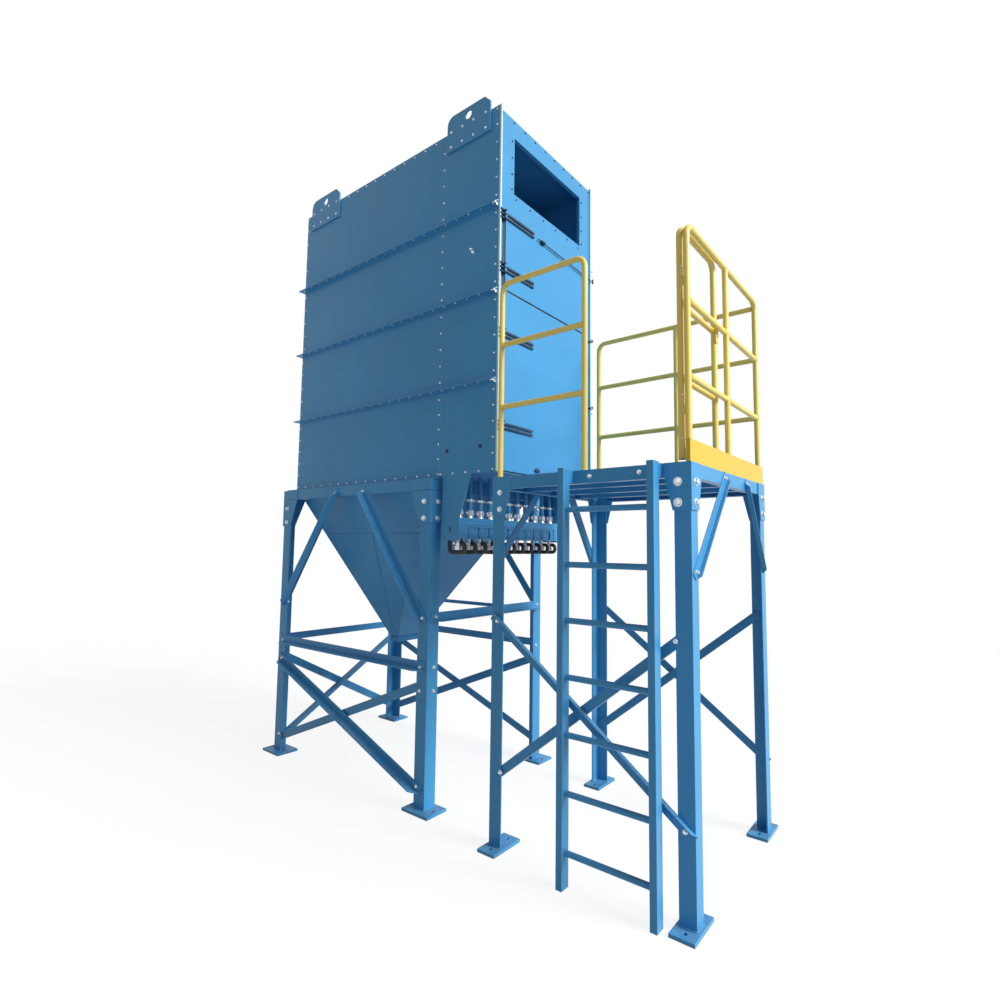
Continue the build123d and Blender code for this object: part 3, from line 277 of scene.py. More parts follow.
def slab(x: Range, y: Range, z: Range, bevel: float = 1.0) -> Piece:
    """A plate with softened edges between the given limits.

    Args:
        x: low and high limit in millimetres.
        y: low and high limit in millimetres.
        z: low and high limit in millimetres.
        bevel: width of the edge bevel in millimetres.

    Returns:
        The plate.
    """
    low, high = place(x[0], y[0], z[0]), place(x[1], y[1], z[1])
    return softened((low + high) / 2, high - low, bevel)


def ring(radius: float, bead: float, around: int, across: int) -> Piece:
    """A round ring about the origin, as a start for a shape.

    Args:
        radius: from the ring's middle to the middle of its bead, in millimetres.
        bead: the bead's radius in millimetres.
        around: how many steps the ring has.
        across: how many sides the bead has.

    Returns:
        The new object.
    """
    bpy.ops.mesh.primitive_torus_add(
        major_radius=radius * MM, minor_radius=bead * MM, major_segments=around, minor_segments=across,
        location=(0, 0, 0),
    )
    return settle(bpy.context.active_object)


def turned(spot: Spot, spin: float = 0.0) -> Matrix:
    """The matrix that stands an upright shape on a face.

    Args:
        spot: where it stands and which way the face looks.
        spin: turn about its own axis in radians.

    Returns:
        The matrix.
    """
    point, facing = spot
    turn = Vector(facing.value).to_track_quat("Z", "Y").to_matrix().to_4x4()
    return Matrix.Translation(place(*point)) @ turn @ Matrix.Rotation(spin, 4, "Z")


def between(start: Point, end: Point, radius: float, sides: int = 16) -> Piece:
    """A round bar between two points, with softened ends.

    Args:
        start: first end in millimetres.
        end: last end in millimetres.
        radius: its radius in millimetres.
        sides: how many sides it has.

    Returns:
        The bar.
    """
    first, last = place(*start), place(*end)
    run = last - first
    bar = lying(radius, run.length / MM, sides)
    for _ in range(2):
        round_top(bar, radius * 0.3, 2)
        bar.data.transform(Matrix.Translation((0, 0, run.length)) @ Matrix.Rotation(math.pi, 4, "X"))
    bar.data.transform(Matrix.Translation(first) @ run.to_track_quat("Z", "Y").to_matrix().to_4x4())
    return bar


# Finishes

class Wiring:
    """Adds nodes to one shader tree and wires them."""

    def __init__(self, tree: NodeTree) -> None:
        """Keeps the tree."""
        self.tree = tree

    def node(self, kind: str, inputs: dict | None = None, **settings: object) -> bpy.types.Node:
        """Adds a node.

        Args:
            kind: the node's type without its ShaderNode prefix.
            inputs: a value or a source socket for each input, by name or number.
            settings: the node's own settings.

        Returns:
            The node.
        """
        added = self.tree.nodes.new("ShaderNode" + kind)
        for name, value in settings.items():
            setattr(added, name, value)
        for key, value in (inputs or {}).items():
            if isinstance(value, Socket):
                self.tree.links.new(value, added.inputs[key])
            else:
                added.inputs[key].default_value = value
        return added

    def remap(self, value: Socket, low: float, high: float, to: Range = (0.0, 1.0)) -> Socket:
        """Maps a range of values to another and clamps it.

        Args:
            value: the source.
            low: the value that gives the first target.
            high: the value that gives the second target.
            to: both targets.

        Returns:
            The mapped value.
        """
        return self.node("MapRange", {0: value, 1: low, 2: high, 3: to[0], 4: to[1]}).outputs[0]

    def times(self, first: Socket, second: Socket | float) -> Socket:
        """The product of two values."""
        return self.node("Math", {0: first, 1: second}, operation="MULTIPLY").outputs[0]

    def noise(self, at: Socket, scale: Socket | float, detail: float = 2.0) -> Socket:
        """Random variation over a surface, coarse at a small scale and fine at a large one."""
        return self.node("TexNoise", {"Vector": at, "Scale": scale, "Detail": detail}).outputs[0]

    def mixed(self, share: Socket, first: object, second: object) -> Socket:
        """Mixes two colours by a varying share.

        Args:
            share: the share of the second colour.
            first: a colour or socket.
            second: a colour or socket.

        Returns:
            The mixed colour.
        """
        mixer = self.node("Mix", {0: share, 6: first, 7: second}, data_type="RGBA")
        return mixer.outputs[2]


def new_group(
    name: str, inputs: dict[str, float], outputs: dict[str, str]
) -> tuple[Wiring, bpy.types.Node, bpy.types.Node]:
    """Starts a shared node group.

    Args:
        name: the group's name.
        inputs: each input with its starting value.
        outputs: each output with its kind, Float, Color or Vector.

    Returns:
        The wiring of the group, its input node and its output node.
    """
    tree = bpy.data.node_groups.new(name, "ShaderNodeTree")
    for label, value in inputs.items():
        socket = tree.interface.new_socket(label, in_out="INPUT", socket_type="NodeSocketFloat")
        socket.default_value = value
    for label, kind in outputs.items():
        tree.interface.new_socket(label, in_out="OUTPUT", socket_type="NodeSocket" + kind)
    return Wiring(tree), tree.nodes.new("NodeGroupInput"), tree.nodes.new("NodeGroupOutput")


def edge_group() -> NodeTree:
    """The shared effect that finds edges and rounds them in the shading, and marks them for a painted
    highlight.

    Returns:
        The group, which gives a mask of edges for the painted edge highlight and a rounded normal.
    """
    wiring, given, result = new_group(
        "rounded_edges", {"Width": 0.004, "Breakup": 40.0}, {"Mask": "Float", "Normal": "Vector"}
    )
    bevel = wiring.node("Bevel", {"Radius": given.outputs["Width"]}, samples=6)
    plain = wiring.node("NewGeometry")
    both = {0: bevel.outputs[0], 1: plain.outputs["Normal"]}
    meet = wiring.node("VectorMath", both, operation="DOT_PRODUCT")
    place_on = wiring.node("TexCoord").outputs["Object"]
    noise = wiring.noise(place_on, given.outputs["Breakup"])
    # The edge mask, broken up by noise, is where a paint's painted highlight goes, as if the edges caught
    # the light.
    rim = wiring.remap(meet.outputs["Value"], 0.985, 0.80)
    highlight_breakup = wiring.remap(noise, 0.30, 0.62, (0.45, 1.0))
    wiring.tree.links.new(wiring.times(rim, highlight_breakup), result.inputs["Mask"])
    wiring.tree.links.new(bevel.outputs[0], result.inputs["Normal"])
    return wiring.tree


def paint_skin_group() -> NodeTree:
    """The shared effect of sprayed paint: orange peel, slight waves and slow colour drift.

    Returns:
        The group, which gives a height in metres and a drift value.
    """
    wiring, given, result = new_group(
        "paint_skin", {"Peel": 260.0, "Waves": 1.6}, {"Height": "Float", "Drift": "Float"}
    )
    place_on = wiring.node("TexCoord").outputs["Object"]
    peel = wiring.noise(place_on, given.outputs["Peel"])
    waves = wiring.noise(place_on, given.outputs["Waves"], 1.0)
    drift = wiring.noise(place_on, 0.9, 4.0)
    fine = wiring.times(peel, 0.00006)
    broad = wiring.times(waves, 0.012)
    height = wiring.node("Math", {0: fine, 1: broad}, operation="ADD").outputs[0]
    wiring.tree.links.new(height, result.inputs["Height"])
    wiring.tree.links.new(drift, result.inputs["Drift"])
    return wiring.tree


def dust_group() -> NodeTree:
    """The shared effect of workshop dust, which settles on upward faces and runs down walls.

    Returns:
        The group, which gives a mask.
    """
    wiring, given, result = new_group("settled_dust", {"Amount": 0.5}, {"Mask": "Float"})
    place_on = wiring.node("TexCoord").outputs["Object"]
    normal = wiring.node("NewGeometry").outputs["Normal"]
    up = wiring.node("SeparateXYZ", {0: normal}).outputs[2]
    patches = wiring.noise(place_on, 7.0, 6.0)
    stretched = wiring.node("Mapping", {"Vector": place_on, "Scale": (14.0, 14.0, 0.8)})
    streaks = wiring.noise(stretched.outputs[0], 1.0, 5.0)
    lying_dust = wiring.times(wiring.remap(up, 0.3, 0.95), wiring.remap(patches, 0.35, 0.75))
    running = wiring.remap(streaks, 0.56, 0.78, (0.0, 0.22))
    both = wiring.node("Math", {0: lying_dust, 1: running}, operation="MAXIMUM").outputs[0]
    wiring.tree.links.new(wiring.times(both, given.outputs["Amount"]), result.inputs["Mask"])
    return wiring.tree


class SharedEffects:
    """The node groups that the finishes share."""

    def __init__(self) -> None:
        """Builds each group once."""
        self.edges = edge_group()
        self.paint_skin = paint_skin_group()
        self.dust = dust_group()

    def use(self, wiring: Wiring, group: NodeTree, **values: float) -> bpy.types.Node:
        """Places a group in a material.

        Args:
            wiring: the material's wiring.
            group: the group to place.
            values: the group's inputs.

        Returns:
            The group's node.
        """
        return wiring.node("Group", dict(values), node_tree=group)


def start_material(name: str) -> tuple[Material, Wiring, bpy.types.Node]:
    """A new material with its shader.

    Args:
        name: the material's name.

    Returns:
        The material, its wiring and its Principled shader.
    """
    material = bpy.data.materials.new(name)
    material.use_nodes = True
    return material, Wiring(material.node_tree), material.node_tree.nodes["Principled BSDF"]


@dataclass(frozen=True)
class Paint:
    """Sprayed gloss paint on steel, with a painted highlight along its edges, and dusty on top."""

    name: str
    colour: Colour
    edge_highlight_colour: Colour
    dust_colour: Colour
    shade: float = 0.86
    roughness: float = 0.36
    specular: float = 0.3
    edge_width: float = 0.004
    edge_highlight_share: float = 0.75
    dust: float = 0.45
    wave_height: float = 1.0

    def build(self, effects: SharedEffects) -> Material:
        """Makes the material.

        Args:
            effects: the shared node groups.

        Returns:
            The material.
        """
        material, wiring, shader = start_material(self.name)
        skin = effects.use(wiring, effects.paint_skin)
        edges = effects.use(wiring, effects.edges, Width=self.edge_width)
        dust = effects.use(wiring, effects.dust, Amount=self.dust)
        darker = tuple(channel * self.shade for channel in self.colour[:3]) + (1.0,)
        drift = wiring.remap(skin.outputs["Drift"], 0.3, 0.7)
        colour = wiring.mixed(drift, darker, self.colour)
        # Painted highlight: a lighter colour along the edges, as if they caught the light.
        edge_highlight_mask = wiring.times(edges.outputs["Mask"], self.edge_highlight_share)
        colour = wiring.mixed(edge_highlight_mask, colour, self.edge_highlight_colour)
        colour = wiring.mixed(dust.outputs["Mask"], colour, self.dust_colour)
        rough = wiring.remap(dust.outputs["Mask"], 0.0, 0.5, (self.roughness, self.roughness + 0.3))
        links = material.node_tree.links
        links.new(colour, shader.inputs["Base Color"])
        links.new(rough, shader.inputs["Roughness"])
        bump = wiring.node("Bump", {
            "Height": skin.outputs["Height"], "Normal": edges.outputs["Normal"],
            "Strength": self.wave_height, "Distance": 1.0,
        })
        links.new(bump.outputs[0], shader.inputs["Normal"])
        shader.inputs["Specular IOR Level"].default_value = self.specular
        return material


@dataclass(frozen=True)
class Plating:
    """Zinc plated steel, slightly mottled."""

    name: str
    colour: Colour
    dull_colour: Colour
    roughness: float = 0.30
    metallic: float = 0.9

    def build(self, effects: SharedEffects) -> Material:
        """Makes the material.

        Args:
            effects: the shared node groups.

        Returns:
            The material.
        """
        material, wiring, shader = start_material(self.name)
        coordinates = wiring.node("TexCoord").outputs["Object"]
        spangle = wiring.node("TexVoronoi", {"Vector": coordinates, "Scale": 240.0}).outputs["Distance"]
        mottle = wiring.noise(coordinates, 60.0, 4.0)
        colour = wiring.mixed(wiring.remap(mottle, 0.4, 0.7), self.colour, self.dull_colour)
        edges = effects.use(wiring, effects.edges, Width=0.001)
        links = material.node_tree.links
        links.new(colour, shader.inputs["Base Color"])
        rough = wiring.remap(spangle, 0.0, 0.8, (self.roughness, self.roughness + 0.18))
        links.new(rough, shader.inputs["Roughness"])
        links.new(edges.outputs["Normal"], shader.inputs["Normal"])
        shader.inputs["Metallic"].default_value = self.metallic
        return material


@dataclass(frozen=True)
class Rubber:
    """Black rubber with fine ribs and a dull bloom."""

    name: str
    colour: Colour
    bloom: Colour
    rib_scale: float = 170.0
    roughness: float = 0.46

    def build(self, effects: SharedEffects) -> Material:
        """Makes the material.

        Args:
            effects: the shared node groups.

        Returns:
            The material.
        """
        material, wiring, shader = start_material(self.name)
        coordinates = wiring.node("TexCoord").outputs["Object"]
        dust = effects.use(wiring, effects.dust, Amount=0.6)
        mottle = wiring.noise(coordinates, 30.0, 5.0)
        colour = wiring.mixed(wiring.remap(mottle, 0.45, 0.8), self.colour, self.bloom)
        colour = wiring.mixed(dust.outputs["Mask"], colour, self.bloom)
        wave = {"Vector": coordinates, "Scale": self.rib_scale, "Distortion": 0.4}
        ribs = wiring.node("TexWave", wave, bands_direction="DIAGONAL")
        height = wiring.times(ribs.outputs["Fac"], 0.0004)
        bump = wiring.node("Bump", {"Height": height, "Distance": 1.0, "Strength": 0.8})
        links = material.node_tree.links
        links.new(colour, shader.inputs["Base Color"])
        links.new(wiring.remap(mottle, 0.3, 0.7, (self.roughness, 0.62)), shader.inputs["Roughness"])
        links.new(bump.outputs[0], shader.inputs["Normal"])
        return material


class Finishes:
    """Every finish of the collector, built once."""

    def __init__(self) -> None:
        """Builds the shared effects and the materials."""
        effects = SharedEffects()
        # light is the blue paint's painted edge highlight.
        blue, light = tint(70, 157, 212), tint(150, 206, 238)
        dust = tint(150, 158, 160)
        self.blue = Paint("blue_gloss_paint", blue, light, dust).build(effects)
        # Near-white paint: a painted highlight on the corner flanges and strips, whose edges catch the
        # light.
        self.corner_highlight = Paint(
            "corner_highlight_paint", tint(205, 235, 240), tint(225, 245, 248), dust, roughness=0.3
        ).build(effects)
        # Dark blue: painted shade on the door straps, hinges and gusset joints; the door pull takes it
        # too.
        self.dark_paint_and_shade = Paint(
            "dark_blue_paint_and_shade", tint(34, 66, 96), tint(60, 104, 142), dust
        ).build(effects)
        self.yellow = Paint(
            "yellow_gloss_paint", tint(233, 192, 52), tint(246, 220, 120), tint(190, 170, 110),
            shade=0.92, roughness=0.30, edge_width=0.0025, wave_height=0.15,
        ).build(effects)
        # A paler copy of the safety yellow: painted light for the highlights on the round rails, gate and
        # their welds.
        self.lightened_rail_yellow = Paint(
            "rail_yellow_lightened", tint(250, 222, 112), tint(252, 234, 158), tint(196, 180, 124),
            shade=0.94, roughness=0.27, specular=0.5, edge_width=0.0025, wave_height=0.15,
        ).build(effects)
        self.zinc = Plating("zinc_plate", tint(226, 230, 232), tint(176, 184, 190)).build(effects)
        # Dark steel for the latches, rod and port plugs, and as painted shade on the zinc bolts round the
        # outlet.
        self.dark_metal_and_shade = Plating(
            "blackened_steel_and_shade", tint(40, 52, 66), tint(24, 32, 44), roughness=0.42, metallic=0.5
        ).build(effects)
        self.rubber = Rubber("black_rubber", tint(20, 21, 24), tint(52, 54, 58)).build(effects)
        # Dark strips round the doors: painted shade in the gaps there.
        self.gap_shade = Rubber(
            "door_gap_painted_shade", tint(14, 22, 36), tint(30, 40, 56), rib_scale=60.0
        ).build(effects)


def finish(piece: Piece, material: Material, body: str = FIXED) -> Piece:
    """Gives a new piece its material, smooth shading on gentle angles and body.

    Args:
        piece: the piece.
        material: its material.
        body: the body that it rides on.

    Returns:
        The piece.
    """
    piece.data.materials.clear()
    piece.data.materials.append(material)
    activate(piece)
    bpy.ops.object.shade_smooth_by_angle(angle=math.radians(SMOOTH_ANGLE))
    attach(piece, body)
    LOG.info("%s: %d faces on %s", piece.name, len(piece.data.polygons), body)
    return piece


# Fasteners and welds

@dataclass(frozen=True)
class HexBolt:
    """A hexagon head on a round washer, in millimetres."""

    head_radius: float
    head_height: float
    washer_radius: float
    washer_height: float
    washer_sides: int = 12
    washer_round: float = 0.4
    crown_inset: float = 0.16
    crown_rise: float = 0.22

    def template(self) -> Piece:
        """Models one bolt head, upright on the origin.

        Returns:
            The bolt head.
        """
        washer = lying(self.washer_radius, self.washer_height, self.washer_sides)
        round_top(washer, self.washer_height * self.washer_round)
        head = lying(self.head_radius, self.head_height, 6, self.washer_height)
        with editing(head):
            pick(head, "faces", lambda face: face.normal.z > LEVEL)
            bpy.ops.mesh.inset(thickness=self.head_radius * self.crown_inset * MM)
            bpy.ops.transform.translate(value=(0, 0, self.head_height * self.crown_rise * MM))
        return join([washer, head], "bolt")

    def fit(self, name: str, spots: Sequence[Spot], material: Material, body: str = FIXED) -> Piece:
        """Puts a bolt head at each spot as one piece.

        Args:
            name: the piece's name.
            spots: the places and the way each face looks.
            material: the bolts' finish.
            body: the body that they ride on.

        Returns:
            The piece.
        """
        draw = random.Random(name)
        matrices = [turned(spot, draw.uniform(0, math.pi / 3)) for spot in spots]
        return finish(copies(self.template(), matrices, name), material, body)


SHEET_BOLT = HexBolt(5.2, 4.0, 6.6, 1.2)
LUG_BOLT = HexBolt(7.0, 5.0, 9.0, 1.6)
CLAMP_BOLT = HexBolt(8.0, 7.0, 9.0, 1.5)
GAUGE_CONNECTOR = HexBolt(9.0, 8.0, 11.0, 2.0)
FRAME_BOLT = HexBolt(9.0, 7.0, 12.0, 2.0, 16)
PLATFORM_BRACE_BOLT = HexBolt(10.0, 8.0, 13.0, 2.2, 16)
NEAR_CORNER_BOLT = HexBolt(12.0, 8.0, 17.0, 2.4, 16)
STAND_CORNER_BOLT = HexBolt(14.0, 10.0, 18.0, 2.6, 20)
CORNER_BOLT = HexBolt(16.0, 11.0, 23.0, 3.0, 20)


def weld_rings(
    name: str, spots: Sequence[Spot], bead: float, radius: float = 17.5, ripple: float = 0.22
) -> Piece:
    """Rippled weld beads round tubes.

    Args:
        name: the piece's name.
        spots: the middle of each ring, and the way its tube runs.
        bead: the bead's radius in millimetres.
        radius: the tube's radius in millimetres.
        ripple: how uneven the bead is, as a share of its radius.

    Returns:
        The joined beads, without a finish.
    """
    weld = ring(radius, bead, 24, 6)
    with editing(weld, "VERT"):
        bpy.ops.mesh.select_all(action="SELECT")
        bpy.ops.transform.vertex_random(offset=bead * ripple * MM, seed=7)
    return copies(weld, [turned(spot) for spot in spots], name)


def foot_beads(name: str, xs: Range, ys: Range, length: float, bead: float) -> Piece:
    """Weld beads where four corner angles stand on their base plates.

    Args:
        name: the piece's name.
        xs: the outer faces of the legs along the collector.
        ys: the outer faces of the legs across it.
        length: how long each bead is.
        bead: the bead's radius.

    Returns:
        The joined beads, without a finish.
    """
    beads = []
    for x, to_x in zip(xs, (1, -1)):
        for y, to_y in zip(ys, (1, -1)):
            for start, end in (
                ((x, y - to_y), (x + to_x * length, y - to_y)),
                ((x - to_x, y), (x - to_x, y + to_y * length)),
            ):
                beads.append(between((*start, BASE_PLATE), (*end, BASE_PLATE), bead, SEAM_SIDES))
    return join(beads, name)


# Sub-assemblies of the collector

@dataclass
class Housing:
    """The bolted sheet housing of the filter chamber and the clean air plenum."""

    finishes: Finishes
    x: Range = (89.0, 2364.0)
    y: Range = (54.0, 1235.0)
    z: Range = (2224.0, 4731.0)
    seam_x: float = 1846.0
    tiers: tuple[float, ...] = (2833.0, 3433.0, 4033.0)
    pitch: float = 115.0
    edge_inset: float = 22.0
    column_foot: float = 24.0
    column_head: float = 135.0
    tier_clear: float = 62.0
    foot_row: float = 20.0
    side_head_row: float = 23.0
    end_head_row: float = 46.0
    lip_reach: float = 24.0
    lip_half: float = 4.0
    lip_inset: float = 30.0
    lip_pitch: float = 110.0
    outlet_y: Range = (215.0, 1071.0)
    outlet_z: Range = (4171.0, 4578.0)
    outlet_head_row: float = 42.0
    outlet_margin: float = 25.0
    outlet_foot_row: float = 28.0
    outlet_levels: tuple[float, ...] = (0.08, 0.38, 0.67, 0.94)
    outlet_fold: float = 3.0
    lug_lefts: tuple[float, ...] = (167.0, 1878.0)
    lug_length: float = 408.0
    lug_margin: float = 12.0
    lug_face: float = 12.0
    lug_columns: tuple[float, ...] = (40.0, 148.0, 255.0, 367.0)
    lug_rows: tuple[float, ...] = (4610.0, 4722.0)
    clip_parts: tuple[tuple[Range, Range, Range], ...] = (
        ((2340, 2364), (16, 40), (-12, -4.2)),
        ((2358, 2362), (30, 53.8), (-22, -5)),
        ((2344, 2372), (30, 42), (4.2, 9)),
    )
    plug_places: tuple[Range, ...] = ((1931.0, 2403.0), (2233.0, 2408.0))
    connector_places: tuple[Range, ...] = ((2122.0, 3784.0), (2138.0, 3758.0))
    roof_seam_places: tuple[float, ...] = (700.0, 1270.0, 1846.0)

    def column(self) -> list[float]:
        """The heights of the bolts in an upright row, clear of the tier flanges."""
        starts = (self.z[0] + self.column_foot, *[tier + self.tier_clear for tier in self.tiers])
        ends = (*[tier - self.tier_clear for tier in self.tiers], self.z[1] - self.column_head)
        return [z for start, end in zip(starts, ends) for z in steps(start, end, self.pitch)]

    def clear_of_lugs(self, x: float) -> bool:
        """Whether a bolt of the top row stands clear of the lifting plates."""
        margin = self.lug_margin
        return all(not left - margin < x < left + self.lug_length + margin for left in self.lug_lefts)

    def flange_bolts(self, name: str, feet: Iterable[Range]) -> None:
        """Puts bolts through the tier flanges.

        Args:
            name: the wall's name.
            feet: where the bolts stand in plan.
        """
        spots = [
            ((x, y, tier + side * self.lip_half), facing)
            for tier in self.tiers for x, y in feet
            for side, facing in ((1, Facing.UP), (-1, Facing.DOWN))
        ]
        SHEET_BOLT.fit(f"{name}_flange_bolts", spots, self.finishes.zinc)

    def long_side(self, name: str, face: float, facing: Facing) -> None:
        """Puts the bolts of one long wall.

        Args:
            name: front or back.
            face: where the wall's face is.
            facing: the way it looks.
        """
        out = facing.value[1]
        columns = (self.x[0] + self.edge_inset, self.seam_x, self.x[1] - self.edge_inset)
        across = steps(columns[0], columns[-1], self.pitch)
        head, foot = self.z[1] - self.side_head_row, self.z[0] + self.foot_row
        spots = [((x, face, z), facing) for x in columns for z in self.column()]
        spots += [((x, face, head), facing) for x in across if self.clear_of_lugs(x)]
        spots += [((x, face, foot), facing) for x in across[1:-1]]
        SHEET_BOLT.fit(f"{name}_wall_bolts", spots, self.finishes.zinc)
        lip = steps(self.x[0] + self.lip_inset, self.x[1] - self.lip_inset, self.lip_pitch)
        self.flange_bolts(name, [(x, face + out * self.lip_reach) for x in lip])
        lugs = [
            ((left + column, face + out * self.lug_face, row), facing)
            for left in self.lug_lefts for column in self.lug_columns for row in self.lug_rows
        ]
        LUG_BOLT.fit(f"{name}_lifting_lug_bolts", lugs, self.finishes.zinc)

    def filter_end(self) -> None:
        """Puts the bolts of the closed end wall."""
        x, facing = self.x[0], Facing.LEFT
        columns = (self.y[0] + self.edge_inset, self.y[1] - self.edge_inset)
        across = steps(*columns, self.pitch)
        spots = [((x, y, z), facing) for y in columns for z in self.column()]
        spots += [((x, y, self.z[1] - self.end_head_row), facing) for y in across]
        spots += [((x, y, self.z[0] + self.foot_row), facing) for y in across[1:-1]]
        SHEET_BOLT.fit("filter_end_bolts", spots, self.finishes.zinc)
        lip = steps(self.y[0] + self.lip_inset, self.y[1] - self.lip_inset, self.lip_pitch)
        self.flange_bolts("filter_end", [(x - self.lip_reach, y) for y in lip])

    def outlet_end(self) -> None:
        """Puts the bolts round the clean air outlet."""
        x, facing = self.x[1], Facing.RIGHT
        (low, high), (foot, head) = self.outlet_y, self.outlet_z
        margin = self.outlet_margin
        top = steps(self.y[0] + self.lip_inset, self.y[1] - self.lip_inset, 125)
        spots = [((x, y, self.z[1] - self.outlet_head_row), facing) for y in top]
        for level in self.outlet_levels:
            z = head - level * (head - foot)
            spots += [((x, low - margin, z), facing), ((x, high + margin, z), facing)]
        bottom = steps(low + margin, high - margin, 160)
        spots += [((x, y, foot - self.outlet_foot_row), facing) for y in bottom]
        # Painted shade: these zinc bolts take the dark steel, as their shaded sides look dark.
        SHEET_BOLT.fit("outlet_bolts", spots, self.finishes.dark_metal_and_shade)

    def outlet_lip(self) -> None:
        """Folds a narrow lip into the housing round the clean air outlet."""
        (y0, y1), (z0, z1), fold = self.outlet_y, self.outlet_z, self.outlet_fold
        x, upright = (self.x[1] - 30, self.x[1] - 4.2), (z0 - fold, z1 + fold)
        level = (y0 - GAP, y1 + GAP)
        limits = (
            ((y0 - fold, y0 - GAP), upright), ((y1 + GAP, y1 + fold), upright),
            (level, (z0 - fold, z0 - GAP)), (level, (z1 + GAP, z1 + fold)),
        )
        finish(join([slab(x, y, z, 0.8) for y, z in limits], "outlet_lip"), self.finishes.blue)

    def clips(self) -> None:
        """Puts a small bright clip where each tier flange meets the end corner."""
        made = [
            slab(x, y, (tier + low, tier + high))
            for tier in self.tiers for x, y, (low, high) in self.clip_parts
        ]
        finish(join(made, "tier_flange_clips"), self.finishes.zinc)

    def ports(self) -> None:
        """Closes the small ports in the plenum's front wall."""
        face = self.y[0]
        plugs = [lying(13, 4, 24) for _ in self.plug_places]
        for plug, (x, z) in zip(plugs, self.plug_places):
            round_top(plug, 1.4, 2)
            with editing(plug):
                pick(plug, "faces", lambda top: top.normal.z > 0.95 and top.calc_area() > 1e-4)
                bpy.ops.mesh.inset(thickness=0.003)
                bpy.ops.transform.translate(value=(0, 0, -0.0018))
            plug.data.transform(turned(((x, face, z), Facing.FRONT)))
        finish(join(plugs, "pressure_port_plugs"), self.finishes.dark_metal_and_shade)
        spots = [((x, face, z), Facing.FRONT) for x, z in self.connector_places]
        GAUGE_CONNECTOR.fit("gauge_connectors", spots, self.finishes.zinc)

    def lay_corner_highlights(self) -> None:
        """Lays a near-white strip along both upright corners of the outlet end: a painted highlight where
        the corner flanges' edges catch the light.
        """
        x, z = (self.x[1] + 0.3, self.x[1] + 12.8), (2234.0, self.z[1] - 2)
        places = ((self.y[0] + 3.2, self.y[0] + 15), (self.y[1] - 15, self.y[1] - 3.2))
        strips = [slab(x, y, z, 1.5) for y in places]
        finish(join(strips, "corner_highlight_strips"), self.finishes.corner_highlight)

    def roof_seams(self) -> None:
        """Folds standing seams across the roof."""
        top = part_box("roof")[1].z / MM
        z = (top, top + 10)
        seams = [slab((x - 7, x + 7), (80, 1209), z, 2.0) for x in self.roof_seam_places]
        finish(join(seams, "roof_seams"), self.finishes.blue)

    def build(self) -> None:
        """Dresses the whole housing."""
        self.long_side("front", self.y[0], Facing.FRONT)
        self.long_side("back", self.y[1], Facing.BACK)
        self.filter_end()
        self.outlet_end()
        self.outlet_lip()
        self.clips()
        self.ports()
        self.lay_corner_highlights()
        self.roof_seams()


